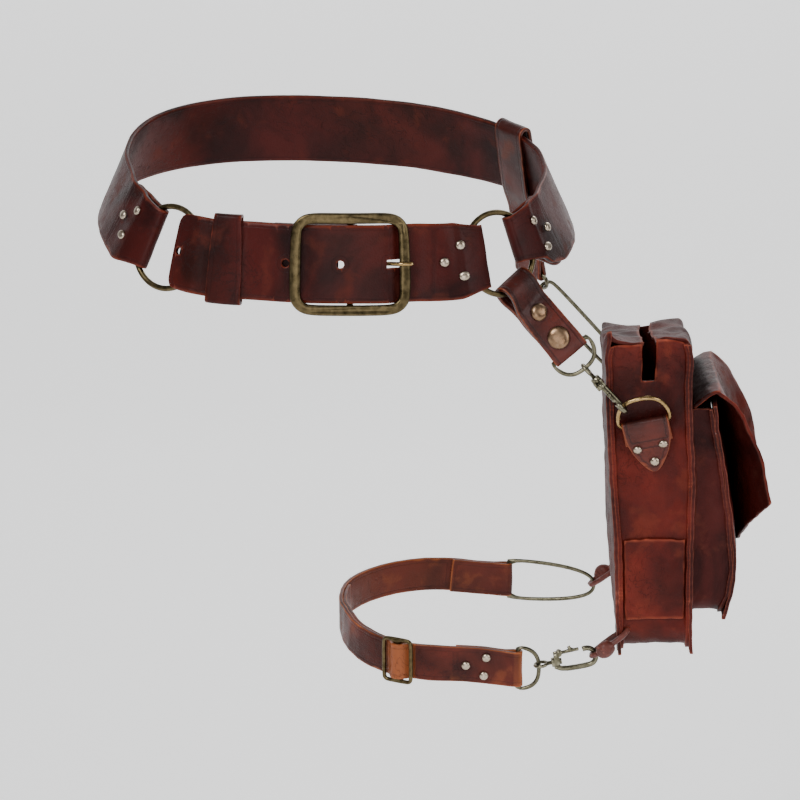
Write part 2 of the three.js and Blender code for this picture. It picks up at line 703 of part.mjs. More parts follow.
// A doubled strap closed round two bars: a straight frame from bar to bar
function straightFrame(from, to, wideFrom, wideTo) {
  const ahead = to.clone().sub(from).normalize();
  const length = from.distanceTo(to);
  return (along) => {
    const share = THREE.MathUtils.clamp(along / length, 0, 1);
    const wide = square(wideFrom.clone().lerp(wideTo, smoothstep(share, 0, 1)), ahead);
    return { place: from.clone().addScaledVector(ahead, along), ahead, wide, out: ahead.clone().cross(wide) };
  };
}

// The closed line of a doubled strap round two bars: hold is how far each fold keeps its full radius.
function doubledLine({ length, first, last, half, thickness, step }) {
  const calm = (thickness + GAP) / 2;
  const ease = Math.min(9, 0.2 * length);
  const rows = [
    { at: first.hold, height: first.radius }, { at: first.hold + ease, height: calm },
    { at: length - last.hold - ease, height: calm }, { at: length - last.hold, height: last.radius },
  ];
  const riseAt = (along) => through(rows, along);
  const face = spaced(0, length, step).map((along) => ({ along, rise: riseAt(along), half }));
  const arc = (centre, radius, from) => spaced(from, from - 180, 180 / ARC_STEPS).slice(1, -1).map((angle) => {
    const turn = degToRad(angle);
    return { along: centre + radius * Math.cos(turn), rise: radius * Math.sin(turn), half };
  });
  const back = face.map(({ along, rise }) => ({ along, rise: -rise, half })).reverse();
  const line = [...face, ...arc(length, last.radius, 90), ...back, ...arc(0, first.radius, 270)];
  return { line, riseAt };
}

const HANGER_FOLD = RING_WIRE / 2 + GAP + HANGER_LEATHER / 2;
const SMALL_FOLD = SMALL_WIRE / 2 + GAP + HANGER_LEATHER / 2;
const RING_MEAN = (RING_BORE + RING_WIRE) / 2;

function hangerTop() {
  const { centre, front, wide, out } = RINGS.right;
  const turn = degToRad(HANGER_ANGLE);
  const spoke = front.clone().multiplyScalar(Math.cos(turn)).addScaledVector(wide, Math.sin(turn));
  const reach = Math.sqrt(RING_MEAN ** 2 - (HANGER_WIDTH / 2) ** 2);
  const bar = centre.clone().addScaledVector(out, RING_PLANE).addScaledVector(spoke, reach);
  const across = front.clone().multiplyScalar(-Math.sin(turn)).addScaledVector(wide, Math.cos(turn));
  return { bar, wide: across, hold: RING_MEAN + RING_WIRE / 2 - reach + 1 };
}

const DROP_WIDE = vec(0.795, 0, 0.606);
const hanger = hangerTop();
const DROP_BAR = hanger.bar.clone().addScaledVector(HANGER_RUN.clone().normalize(), HANGER_LENGTH);
const hangerFrame = straightFrame(hanger.bar, DROP_BAR, hanger.wide, DROP_WIDE);

const HANGER_LINE = doubledLine({
  length: HANGER_LENGTH, first: { radius: HANGER_FOLD + 8 * GAP, hold: hanger.hold },
  last: { radius: SMALL_FOLD, hold: SMALL_WIRE / 2 }, half: HANGER_WIDTH / 2, thickness: HANGER_LEATHER, step: 5,
});

function dropStrap() {
  return piece('drop_strap', strap(HANGER_LINE.line, hangerFrame, HANGER_LEATHER, true), BELT_FINISH);
}

function dropCaps() {
  const rise = (along) => HANGER_LINE.riseAt(along) + HANGER_LEATHER / 2;
  const rows = [{ share: 0.42, size: SMALL_CAP }, { share: 0.8, size: LARGE_CAP }];
  return rows.map(({ share, size }, i) => {
    const along = share * HANGER_LENGTH;
    return capOn(`snap_cap_${i + 1}`, hangerFrame, rise, along, 0, size, CAP_RISE, DARK_BRASS);
  });
}

// A D-ring in its XY plane: the bar lies on the X axis and the bow reaches to -Y.
function bowAt(half, depth, angle) {
  const [c, s] = [Math.cos(degToRad(angle)), Math.sin(degToRad(angle))];
  return new THREE.Vector2(half * Math.sign(c) * Math.abs(c) ** 0.75, -depth * Math.abs(s) ** 0.85);
}

function dRing(width, depth, gauge) {
  const half = (width - gauge) / 2;
  const bow = spaced(0, 180, 180 / 12).map((angle) => bowAt(half, depth, angle));
  const bar = [new THREE.Vector2(0, 0)];
  return wire([...bow, ...bar], gauge, true);
}

function dropRing() {
  const { wide, out } = hangerFrame(HANGER_LENGTH);
  const ring = dRing(DROP_RING_WIDTH, DROP_RING_DEPTH, SMALL_WIRE);
  return piece('drop_ring', ring, DARK_BRASS, DROP_BAR, wide, out);
}

// A swivel snap hook, from its eye at the origin to its bight, along +X in the XY plane
const COLLAR = { from: 7.4, length: 5.4, diameter: 6.6, bore: 3.2 };
const GATE_PIVOT = new THREE.Vector2(COLLAR.from + COLLAR.length + 0.6, HOOK_BIGHT / 2 + 1.4);

function hookEye() {
  const ring = new THREE.TorusGeometry((EYE_BORE + 2.2) / 2, 1.1, 5, 14);
  const stemFrom = EYE_BORE / 2 + 1.1;
  const headAt = COLLAR.from + COLLAR.length + GAP;
  const profile = [
    [0, stemFrom], [COLLAR.bore / 2 - GAP, stemFrom], [COLLAR.bore / 2 - GAP, headAt],
    [COLLAR.bore / 2 + 0.5, headAt], [COLLAR.bore / 2 + 0.5, headAt + 1.2], [0, headAt + 1.2],
  ].map(([r, h]) => new THREE.Vector2(r, h));
  const stem = new THREE.LatheGeometry(profile, DISC_SIDES).rotateZ(-Math.PI / 2);
  return joined(ring.rotateX(Math.PI / 2), stem);
}

function hookBody() {
  const outer = COLLAR.diameter / 2;
  const bore = COLLAR.bore / 2;
  const end = COLLAR.from + COLLAR.length;
  const wall = [[bore, COLLAR.from], [outer, COLLAR.from], [outer, end], [bore, end], [bore, COLLAR.from]];
  const collar = new THREE.LatheGeometry(wall.map(([r, h]) => new THREE.Vector2(r, h)), DISC_SIDES);
  collar.rotateZ(-Math.PI / 2);
  const reach = (HOOK_BIGHT + HOOK_WIRE) / 2;
  const bow = HOOK_LENGTH - HOOK_WIRE / 2 - reach;
  const curve = spaced(-90, 112, 202 / 7).map((angle) => {
    const turn = degToRad(angle);
    return new THREE.Vector2(bow + reach * Math.cos(turn), reach * Math.sin(turn));
  });
  const bar = [
    new THREE.Vector2(COLLAR.from + 2, -outer + 0.2), new THREE.Vector2(end - 1, -outer - 1.2),
    new THREE.Vector2(end + 2.4, -reach),
  ];
  const hook = wire([...bar, ...curve], HOOK_WIRE);
  const cheek = 1.1;
  const inside = GATE_WIRE / 2 + 0.5 + GAP;
  const ears = [-1, 1].map((side) => {
    const plate = new THREE.CylinderGeometry(1.9, 1.9, cheek, CAP_SIDES).rotateX(Math.PI / 2);
    plate.translate(GATE_PIVOT.x, GATE_PIVOT.y, side * (inside + cheek / 2));
    const arm = new THREE.BoxGeometry(3.6, 5.4, cheek);
    arm.translate(GATE_PIVOT.x - 2.2, GATE_PIVOT.y - 2.3, side * (inside + cheek / 2));
    return joined(plate, arm);
  });
  const pin = new THREE.CylinderGeometry(PIN_DIAMETER / 2, PIN_DIAMETER / 2, 2 * inside + 1, CAP_SIDES);
  pin.rotateX(Math.PI / 2).translate(GATE_PIVOT.x, GATE_PIVOT.y, 0);
  return joined(collar, hook, ...ears, pin);
}

// The spring gate, about its own pivot, with the thumb lever on its back.
function hookGate() {
  const bore = PIN_DIAMETER / 2 + GAP;
  const outline = new THREE.Shape().absarc(0, 0, bore + 0.9, 0, 2 * Math.PI);
  outline.holes.push(new THREE.Path().absarc(0, 0, bore, 0, 2 * Math.PI, true));
  const thick = GATE_WIRE + 1;
  const hub = new THREE.ExtrudeGeometry(outline, { depth: thick, bevelEnabled: false, curveSegments: 5 });
  hub.translate(0, 0, -thick / 2);
  const reach = (HOOK_BIGHT + HOOK_WIRE) / 2;
  const tipX = HOOK_LENGTH - HOOK_WIRE / 2 - reach + reach * Math.cos(degToRad(112));
  const run = tipX - GATE_PIVOT.x - HOOK_WIRE / 2 - 0.7;
  const rod = wire([new THREE.Vector2(bore + 0.5, 0), new THREE.Vector2(run, 0.5)], GATE_WIRE);
  const lever = wire([new THREE.Vector2(run * 0.62, 0.4), new THREE.Vector2(run * 0.52, 3.4)], GATE_WIRE);
  return joined(hub, rod, lever);
}

// Distances along a hook: from the wire it hangs on to its eye's centre, and from there to what it holds.
const EYE_STEP = EYE_BORE / 2 - SMALL_WIRE / 2 - GAP;
const CATCH_STEP = HOOK_LENGTH - HOOK_WIRE - SMALL_WIRE / 2 - GAP;

// The eye can turn on the body, so each has its own facing direction.
function swivelHook(prefix, place, ahead, eyeOut, bodyOut) {
  const side = bodyOut.clone().cross(ahead).normalize();
  const pivot = place.clone().addScaledVector(ahead, GATE_PIVOT.x).addScaledVector(side, GATE_PIVOT.y);
  return [
    piece(`${prefix}_eye`, hookEye(), DARK_BRASS, place, ahead, eyeOut),
    piece(`${prefix}_body`, hookBody(), DARK_BRASS, place, ahead, bodyOut),
    piece(`${prefix}_gate`, hookGate(), DARK_BRASS, pivot, ahead, bodyOut),
  ];
}

// The upper hook hangs on the bow of the drop ring, in line with the strap.
const UPPER_RUN = square(vec(0.68, 0.02, -0.73), vec(0, 1, 0));
const dropSeat = hangerFrame(HANGER_LENGTH);
const DROP_CATCH = DROP_BAR.clone().addScaledVector(dropSeat.out.clone().cross(dropSeat.wide), -DROP_RING_DEPTH);
const UPPER_EYE = DROP_CATCH.clone().addScaledVector(UPPER_RUN, EYE_STEP);
const UPPER_CATCH = UPPER_EYE.clone().addScaledVector(UPPER_RUN, CATCH_STEP);

function upperHook() {
  const eyeOut = square(vec(0, -1, 0), UPPER_RUN);
  const bodyOut = UPPER_RUN.clone().cross(eyeOut);
  return swivelHook('upper_hook', UPPER_EYE, UPPER_RUN, eyeOut, bodyOut);
}

// The bag, in its own frame: X outwards, Y from front to back, Z down from its top as negative heights
const bagHalf = (z) => lerp(BAG_DEPTH, BAG_FOOT_DEPTH, THREE.MathUtils.clamp(-z / BAG_HEIGHT, 0, 1)) / 2;
const SIDE = BAG_LENGTH / 2;
const PANEL_BULGE = 3;
const TOP_SAG = 9;

function panelBulge(y, z) {
  const across = Math.max(0, 1 - (y / SIDE) ** 2);
  return PANEL_BULGE * across * Math.sin(Math.PI * THREE.MathUtils.clamp(-z / BAG_HEIGHT, 0, 1));
}

const topSag = (y) => -TOP_SAG * smoothstep(y, -0.75 * SIDE, 0.9 * SIDE);

// Panels: a flat side whose top folds over as a lip towards the mouth, with an ear at the near corner.
function bagPanel(name, side, ear) {
  const lipRadius = 4;
  const foot = BAG_HEIGHT + SEAM_HEIGHT;
  const lip = (BAG_DEPTH - MOUTH_WIDTH) / 2 - lipRadius;
  const surface = (u, v) => {
    const y = lerp(-1, 1, u);
    if (v <= 0.8) {
      const z = lerp(-foot, -lipRadius, v / 0.8);
      const corner = smoothstep(v, 0, 0.06);
      const half = SIDE + SEAM_HEIGHT - 1.5 * (1 - corner);
      const place = vec(side * (bagHalf(z) + panelBulge(y * SIDE, z)), y * half, z);
      const near = smoothstep(-y, 0.8, 1) * smoothstep(v, 0.7, 0.8);
      return place.add(vec(0, 0, topSag(y * SIDE) * smoothstep(v, 0.4, 0.8) + ear * near));
    }
    const half = lerp(SIDE + SEAM_HEIGHT, SIDE - 1, smoothstep(v, 0.8, 0.87));
    const near = smoothstep(-y, 0.8, 1) * (1 - smoothstep(v, 0.8, 0.9));
    if (v <= 0.88) {
      const turn = ((v - 0.8) / 0.08) * (Math.PI / 2);
      const x = BAG_DEPTH / 2 - lipRadius * (1 - Math.cos(turn));
      return vec(side * x, y * half, -lipRadius * (1 - Math.sin(turn)) + topSag(y * SIDE) + ear * near);
    }
    const x = BAG_DEPTH / 2 - lipRadius - (lip * (v - 0.88)) / 0.12;
    return vec(side * x, y * half, topSag(y * SIDE) + ear * near - 1.5 * ((v - 0.88) / 0.12) ** 2);
  };
  const along = [0, 0.03, ...spaced(0.1, 0.7, 0.12), 0.8, 0.84, 0.88, 0.94, 1];
  const across = [0, 0.03, 0.08, ...spaced(0.2, 0.92, 0.18), 1];
  const body = sheet(surface, across, along, BAG_LEATHER);
  const holes = side < 0 ? [tieHole(-1), tieHole(1)] : [];
  return piece(name, holes.length ? cut(body, ...holes) : body, BAG_FINISH);
}

// The gusset: a channel with its two edges turned out beside the panels, carried down, under and up.
const GUSSET_ROWS = [
  { at: 0, height: 0 }, { at: 0.3, height: 1.5 }, { at: 0.62, height: -1 }, { at: 0.66, height: 1 },
  { at: 0.84, height: 0 }, { at: 1, height: 0 },
];

const LIP_CLEAR = BAG_LEATHER + 2 * GAP + 1.6;

function gussetPath() {
  const tuck = 12;
  const low = -BAG_HEIGHT;
  const half = (end) => [
    ...spaced(topSag(end * SIDE) - LIP_CLEAR, low + tuck, 26).map((z) => ({ y: end * SIDE, z, facing: 90 * end })),
    { y: end * (SIDE - 0.28 * tuck), z: low + 0.45 * tuck, facing: 70 * end },
    { y: end * (SIDE - 0.62 * tuck), z: low + 0.08 * tuck, facing: 30 * end },
    { y: end * (SIDE - 1.1 * tuck), z: low, facing: 0 },
    { y: end * 0.45 * SIDE, z: low, facing: 0 },
  ];
  return [...half(-1), { y: 0, z: low, facing: 0 }, ...half(1).reverse()];
}

// A channel section at a half width: each point is across and outwards, with its own normal for the wall.
function channelRing(half, flange, thickness, dent) {
  const t = thickness / 2;
  const bend = 1.4;
  const inner = half - t;
  const outside = [
    [half, flange], [half, 0.3 * bend], [half - bend, -t], [half / 2, -t - 0.6 * dent], [0, -t - dent],
  ];
  const under = [
    [half - thickness, flange], [half - thickness, bend + 0.5], [inner - t - 1, t], [half / 2, t - 0.6 * dent],
    [0, t - dent],
  ];
  const mirror = (rows) => rows.slice(0, -1).map(([x, o]) => [-x, o]).reverse();
  return [...under, ...mirror(under), ...[...outside, ...mirror(outside)].reverse()];
}

function channel(path, halfAt, flange, thickness, dentAt) {
  const rings = path.map(({ y, z, facing }, i) => {
    const turn = degToRad(facing);
    const out = vec(0, Math.sin(turn), -Math.cos(turn));
    const dent = dentAt(i / (path.length - 1), z);
    return channelRing(halfAt({ y, z }), flange, thickness, dent).map(([x, o]) => {
      return vec(x, y, z).addScaledVector(out, o);
    });
  });
  return loft(rings);
}

function bagGusset() {
  const clear = BAG_LEATHER / 2 + GAP;
  const dent = (share, z) => {
    const down = -z / BAG_HEIGHT;
    return share < 0.5 ? through(GUSSET_ROWS, down) + 2.5 * Math.sin(Math.PI * Math.min(1, down)) : 1;
  };
  const body = channel(gussetPath(), ({ z }) => bagHalf(z) - clear, SEAM_HEIGHT, BAG_LEATHER, dent);
  const notch = new THREE.BoxGeometry(MOUTH_WIDTH, 30, 2 * MOUTH_NOTCH);
  notch.translate(0, -SIDE, 0);
  return piece('bag_gusset', cut(body, notch, tieHole(-1), tieHole(1)), BAG_FINISH);
}

// The strip of leather that laps over the lower part of the near gusset.
function gussetFold() {
  const top = -0.635 * BAG_HEIGHT;
  const foot = -0.9 * BAG_HEIGHT;
  const surface = (u, v) => {
    const z = lerp(top, foot, v);
    const half = bagHalf(z) - BAG_LEATHER - 3;
    const x = lerp(-half, half, u);
    const middle = 1 - (x / half) ** 2;
    const dent = through(GUSSET_ROWS, -z / BAG_HEIGHT) + 2.5 * Math.sin(Math.PI * Math.min(1, -z / BAG_HEIGHT));
    const lift = BAG_LEATHER + GAP + 0.3 * (1 - v);
    return vec(x, -SIDE - lift + dent * (0.25 + 0.75 * middle) - 0.35, z);
  };
  return piece('gusset_fold', sheet(surface, spaced(0, 1, 1 / 6), spaced(0, 1, 1 / 5), 1.4), BAG_FINISH);
}

// A tab folded over the bag D-ring's bar and riveted to the end face of the bag.
const TAB_LEATHER = 2;
const TAB_FOLD = SMALL_WIRE / 2 + GAP + TAB_LEATHER / 2;
const TAB_BASE = BAG_LEATHER / 2 + GAP + TAB_LEATHER / 2 + 1.2;
const TAB_LIFT = TAB_BASE + TAB_FOLD;
const TAB_BACK = 14;
const TAB_ROWS = [
  { at: 0, height: 1 }, { at: 0.35, height: 0.94 }, { at: 0.62, height: 0.74 }, { at: 0.82, height: 0.48 },
  { at: 0.95, height: 0.26 }, { at: 1, height: 0.1 },
];

function tabHalf(share) {
  const after = Math.max(1, TAB_ROWS.findIndex((row) => row.at >= share));
  const [a, b] = [TAB_ROWS[after - 1], TAB_ROWS[after]];
  return (TAB_WIDTH / 2) * lerp(a.height, b.height, (share - a.at) / (b.at - a.at));
}

function tabRise(along) {
  const top = TAB_BASE + TAB_LEATHER + GAP;
  const rest = lerp(top, TAB_BASE, smoothstep(along, TAB_BACK + 1, TAB_BACK + 7));
  return lerp(TAB_LIFT + TAB_FOLD, rest, smoothstep(along, SMALL_WIRE / 2, 9));
}

function bagTab(name, frame) {
  const back = spaced(TAB_BACK, 0, 4).map((along) => {
    const rise = lerp(TAB_LIFT - TAB_FOLD, TAB_BASE, smoothstep(along, SMALL_WIRE / 2, 6));
    return { along, rise, half: TAB_WIDTH / 2 };
  });
  const arc = spaced(-90, 90, 180 / ARC_STEPS).slice(1, -1).map((angle) => {
    const turn = degToRad(angle);
    const [c, s] = [Math.cos(turn), Math.sin(turn)];
    return { along: -TAB_FOLD * c, rise: TAB_LIFT + TAB_FOLD * s, half: TAB_WIDTH / 2 };
  });
  const face = [...spaced(0, 0.85, 0.85 / 10), 0.92, 0.97, 1].map((share) => {
    return { along: share * TAB_LENGTH, rise: tabRise(share * TAB_LENGTH), half: tabHalf(share) };
  });
  return piece(name, strap([...back, ...arc, ...face], frame, TAB_LEATHER), BELT_FINISH);
}

// The end faces of the bag, as frames that run down from the D-ring's bar.
function endFrame(side, tilt) {
  const turn = degToRad(tilt);
  const ahead = vec(Math.sin(turn), 0, -Math.cos(turn));
  const wide = vec(Math.cos(turn), 0, Math.sin(turn)).multiplyScalar(-side);
  const start = vec(-3.4, side * SIDE, -BAG_RING_DROP);
  const out = vec(0, side, 0);
  return (along) => ({ place: start.clone().addScaledVector(ahead, along), ahead, wide, out });
}

const TAB_RIVETS = [{ along: 17, across: -8.5 }, { along: 16, across: 8.5 }, { along: 27, across: 1 }];
const CATCH_TURN = 50;
const REAR_CATCH_TURN = 160;

// A bag end's D-ring: its bar in the tab's fold, and how it stands away from the end face.
function ringStand(side, tilt, leaning) {
  const { place, ahead, wide, out } = endFrame(side, tilt)(0);
  const lean = degToRad(leaning);
  const bar = place.clone().addScaledVector(out, TAB_LIFT);
  const rise = ahead.clone().multiplyScalar(-Math.cos(lean)).addScaledVector(out, Math.sin(lean));
  return { bar, wide, rise, facing: wide.clone().cross(rise) };
}

const BAG_RING = { width: BAG_RING_WIDTH, depth: BAG_RING_DEPTH };
const DROP_RING = { width: DROP_RING_WIDTH, depth: DROP_RING_DEPTH };

// A point on the bow of a D-ring, by its turn from the ring's first end.
function bowPoint({ bar, wide, rise }, { width, depth }, turn) {
  const { x, y } = bowAt((width - SMALL_WIRE) / 2, depth, turn);
  return bar.clone().addScaledVector(wide, -x).addScaledVector(rise, -y);
}

function bagHanger(prefix, side, tilt, leaning) {
  const frame = endFrame(side, tilt);
  const { bar, wide, facing } = ringStand(side, tilt, leaning);
  const ring = dRing(BAG_RING_WIDTH, BAG_RING_DEPTH, SMALL_WIRE).rotateX(Math.PI);
  const rise = (along) => tabRise(along) + TAB_LEATHER / 2;
  const rivets = TAB_RIVETS.map(({ along, across }, i) => {
    const name = `${prefix}_rivet_${i + 1}`;
    return capOn(name, frame, rise, along, across, RIVET_DIAMETER, RIVET_RISE, RIVET_FINISH);
  });
  return [bagTab(`${prefix}_tab`, frame), piece(`${prefix}_d_ring`, ring, BRIGHT_BRASS, bar, wide, facing), ...rivets];
}

// The bag hangs where its near D-ring's bow lies in the upper hook.
const FRONT_TAB_TURN = 9;
const FRONT_RING_LEAN = 28;
const REAR_RING_LEAN = 80;
const BAG_TURN = new THREE.Quaternion().setFromEuler(
  new THREE.Euler(0, -degToRad(BAG_LEAN), -degToRad(BAG_YAW), 'ZYX'));
const BAG_PLACE = UPPER_CATCH.clone().sub(
  bowPoint(ringStand(-1, FRONT_TAB_TURN, FRONT_RING_LEAN), BAG_RING, CATCH_TURN).applyQuaternion(BAG_TURN));
const bagPoint = (local) => local.clone().applyQuaternion(BAG_TURN).add(BAG_PLACE);

// A thong loop through the seam at a bottom corner, with its knot: end is -1 near and +1 far.
const TIE_RUN = vec(-0.816, 0, -0.577);
const TIE_INSIDE = 6;
const TIE_FOOT = 13;

function tieCentre(end) {
  const z = TIE_FOOT - BAG_HEIGHT;
  const inside = vec(TIE_INSIDE - bagHalf(z), end * (SIDE + 1.5), z);
  return inside.addScaledVector(TIE_RUN, TIE_LENGTH / 2);
}

function tieLoop(gauge) {
  const points = spaced(0, 340, 20).map((angle) => {
    const turn = degToRad(angle);
    return new THREE.Vector2((TIE_LENGTH / 2) * Math.cos(turn), (TIE_HEIGHT / 2) * Math.sin(turn));
  });
  return wire(points, gauge, true, 6);
}

function tieHole(end) {
  const seat = piece('tie_hole', tieLoop(TIE_WIRE + 4 * GAP), TIE_FINISH, tieCentre(end), TIE_RUN, tieFacing());
  seat.updateMatrix();
  return seat.geometry.applyMatrix4(seat.matrix);
}

const tieFacing = () => TIE_RUN.clone().cross(vec(0, 1, 0));

function cornerTie(name, end) {
  const knot = new THREE.SphereGeometry(KNOT_DIAMETER / 2, 9, 6).scale(1, 0.66, 0.9);
  knot.translate(3.6, end * (TIE_HEIGHT / 2 + 0.6), 0);
  return piece(name, joined(tieLoop(TIE_WIRE), knot), TIE_FINISH, tieCentre(end), TIE_RUN, tieFacing());
}

const tieEnd = (end) => bagPoint(tieCentre(end).addScaledVector(TIE_RUN, TIE_LENGTH / 2));

// The pocket on the outward face, with its side walls, front and flap
const panelFace = (y, z) => bagHalf(z) + panelBulge(y, z) + BAG_LEATHER / 2;
const POCKET_FOOT = POCKET_TOP + POCKET_HEIGHT;
const POCKET_ROWS = [
  { at: 0, height: 0 }, { at: 0.35, height: 0.5 }, { at: 0.6, height: 0.85 }, { at: 0.78, height: 1 },
  { at: 0.88, height: 0.86 }, { at: 1, height: 0.45 },
];

function pocketDepth(z) {
  const share = (-z - POCKET_TOP) / POCKET_HEIGHT;
  return lerp(POCKET_MOUTH_DEPTH, POCKET_FOOT_DEPTH, through(POCKET_ROWS, share));
}

const pocketPlane = (z) => panelFace(0, z) - panelBulge(0, z) + pocketDepth(z);

function pocketPath() {
  const half = POCKET_LENGTH / 2;
  const corner = 12;
  const low = -POCKET_FOOT;
  const side = spaced(-POCKET_TOP, low + corner, 20).map((z) => ({ y: -half, z, facing: -90 }));
  const turn = [
    { y: -half + 0.3 * corner, z: low + 0.3 * corner, facing: -45 },
    { y: -half + corner, z: low, facing: 0 },
  ];
  const near = [...side, ...turn, { y: -half / 2, z: low, facing: 0 }];
  return [...near, { y: 0, z: low, facing: 0 }, ...near.map(({ y, z, facing }) => ({ y: -y, z, facing: -facing })).reverse()];
}

// Side wall of the pocket: from the bag's face to the pocket front, with an edge turned out at the front.
function pocketGusset() {
  const t = BAG_LEATHER / 2;
  const flange = 3.2;
  const rings = pocketPath().map(({ y, z, facing }) => {
    const turn = degToRad(facing);
    const out = vec(0, Math.sin(turn), -Math.cos(turn));
    const inner = panelFace(y, z) + GAP;
    const slope = (pocketDepth(z + 1) - pocketDepth(z - 1)) / 2;
    const front = Math.min(...[0, flange].map((lower) => pocketPlane(z - lower * Math.cos(turn))));
    const outer = front - (t + GAP) * Math.hypot(1, slope) - GAP;
    const wall = [
      [inner, t], [inner + 4, t - 0.6], [outer - 4, t - 0.6], [outer - BAG_LEATHER, t + 0.4], [outer - BAG_LEATHER, flange],
      [outer, flange], [outer, -t + 0.6], [outer - 0.6, -t], [outer - 4, -t - 0.6], [inner, -t],
    ];
    return wall.map(([x, o]) => vec(x, y, z).addScaledVector(out, o));
  });
  return piece('pocket_gusset', loft(rings), BAG_FINISH);
}

function pocketFront() {
  const edge = 3.2;
  const foot = POCKET_FOOT + edge;
  const surface = (u, v) => {
    const z = lerp(-POCKET_TOP, -foot, v);
    const half = POCKET_LENGTH / 2 + edge;
    const y = lerp(-half, half, u);
    const dome = 2 * Math.sin(Math.PI * THREE.MathUtils.clamp(v, 0, 1)) * (1 - (y / half) ** 2);
    return vec(pocketPlane(z) + dome, y, z);
  };
  const geometry = sheet(surface, spaced(0, 1, 1 / 6), spaced(0, 1, 0.1), BAG_LEATHER);
  return piece('pocket_front', geometry, BAG_FINISH);
}

// The flap rises from the bag's face, folds over, and hangs to a point with its lower corners flared.
const FLAP_ROWS = [
  { at: 0, height: 0 }, { at: 0.06, height: 0.3 }, { at: 0.25, height: 0.62 }, { at: 0.6, height: 0.92 }, { at: 1, height: 1 },
];

function pocketFlap() {
  const top = 4;
  const half = POCKET_LENGTH / 2 + 1.5;
  const shelf = 0.16;
  const stand = BAG_LEATHER + 1.2;
  const fold = POCKET_MOUTH_DEPTH + 2;
  const surface = (u, v) => {
    const share = lerp(-1, 1, u);
    const y = share * half;
    const start = panelFace(THREE.MathUtils.clamp(y, -SIDE, SIDE), -POCKET_TOP + top) + GAP + 1;
    const crest = panelFace(0, -POCKET_TOP) - panelBulge(0, -POCKET_TOP) + fold;
    if (v < shelf) {
      const part = v / shelf;
      const rise = FLAP_RISE * Math.sin((part * Math.PI) / 2);
      return vec(lerp(start, crest, part), y, -POCKET_TOP + top + rise - 3);
    }
    const part = (v - shelf) / (1 - shelf);
    const drop = lerp(FLAP_TIP_DROP, FLAP_DROP, Math.abs(share) ** 1.3) * part;
    const z = -POCKET_TOP + top - 3 + FLAP_RISE - drop;
    const face = panelFace(0, z) - panelBulge(0, z) + pocketDepth(Math.min(z, -POCKET_TOP)) + stand;
    const dome = 2 * (1 - share ** 2);
    const flare = FLAP_FLARE * Math.abs(share) ** 2.4 * through(FLAP_ROWS, part);
    const settle = smoothstep(part, 0, 0.12);
    return vec(lerp(crest, Math.max(crest, face + dome), settle) + flare, y, z);
  };
  const along = [...spaced(0, shelf, shelf / 3), ...spaced(shelf, 1, (1 - shelf) / 8).slice(1)];
  return piece('pocket_flap', sheet(surface, spaced(0, 1, 0.1), along, BAG_LEATHER), BAG_FINISH);
}

function flapStud() {
  const z = -POCKET_TOP + 1 + FLAP_RISE - FLAP_TIP_DROP + 12;
  const face = panelFace(0, z) - panelBulge(0, z) + pocketDepth(z) + BAG_LEATHER + 1.2 + 2;
  const place = vec(face + BAG_LEATHER / 2 + GAP + 0.4, 0, z);
  return piece('flap_stud', cap(STUD_DIAMETER, CAP_RISE, CAP_SIDES + 4), DARK_BRASS, place, vec(0, 0, 1), vec(1, 0, 0));
}

function bag() {
  const group = new THREE.Group();
  group.add(
    bagPanel('bag_back_panel', -1, 14), bagPanel('bag_front_panel', 1, 3), bagGusset(), gussetFold(),
    pocketGusset(), pocketFront(), pocketFlap(), flapStud(),
    ...bagHanger('front', -1, FRONT_TAB_TURN, FRONT_RING_LEAN), ...bagHanger('rear', 1, 0, REAR_RING_LEAN),
    cornerTie('front_tie', -1), cornerTie('rear_tie', 1),
  );
  group.position.copy(BAG_PLACE);
  group.quaternion.copy(BAG_TURN);
  return group;
}

// The lower hook reaches from the thigh strap's D-ring to the near corner tie.
const LOWER_RUN = vec(0.983, 0, 0.185).normalize();
const LOWER_EYE = tieEnd(-1).addScaledVector(LOWER_RUN, -CATCH_STEP);
const THIGH_CATCH = LOWER_EYE.clone().addScaledVector(LOWER_RUN, -EYE_STEP);
const THIGH_BAR = THIGH_CATCH.clone().addScaledVector(LOWER_RUN, -THIGH_RING_DEPTH);
const LOWER_OUT = square(vec(0, -1, 0), LOWER_RUN);

// The thigh strap's own line: straight from its front D-ring, round the limb, and straight to the rear
const thighLoop = measured((turn) => oval(THIGH_WIDTH, THIGH_DEPTH, THIGH_POWER, turn));
const THIGH_LENGTH = 2 * THIGH_STRAIGHT + thighLoop.total / 2;
const THIGH_ROWS = [
  { at: 0, height: 0 }, { at: 0.12, height: 3.5 }, { at: 0.25, height: 3 }, { at: 0.5, height: 13 },
  { at: 0.8, height: 14 }, { at: 1, height: tieEnd(1).z - THIGH_BAR.z },
];

function thighPlace(reach) {
  const round = THREE.MathUtils.clamp(reach - THIGH_STRAIGHT, 0, thighLoop.total / 2);
  const flat = oval(THIGH_WIDTH, THIGH_DEPTH, THIGH_POWER, thighLoop.turnAt(-round));
  const straight = Math.min(reach, THIGH_STRAIGHT, THIGH_LENGTH - reach);
  const shift = vec(-straight, THIGH_DEPTH / 2, through(THIGH_ROWS, reach / THIGH_LENGTH));
  return flat.add(THIGH_BAR).add(shift);
}

// Lengths along the thigh strap run back from its front D-ring, so that its outer side faces out.
function thighFrame(along) {
  const place = thighPlace(-along);
  const ahead = thighPlace(-along - 1).sub(thighPlace(-along + 1)).normalize();
  const wide = square(UP, ahead);
  return { place, ahead, wide, out: ahead.clone().cross(wide) };
}

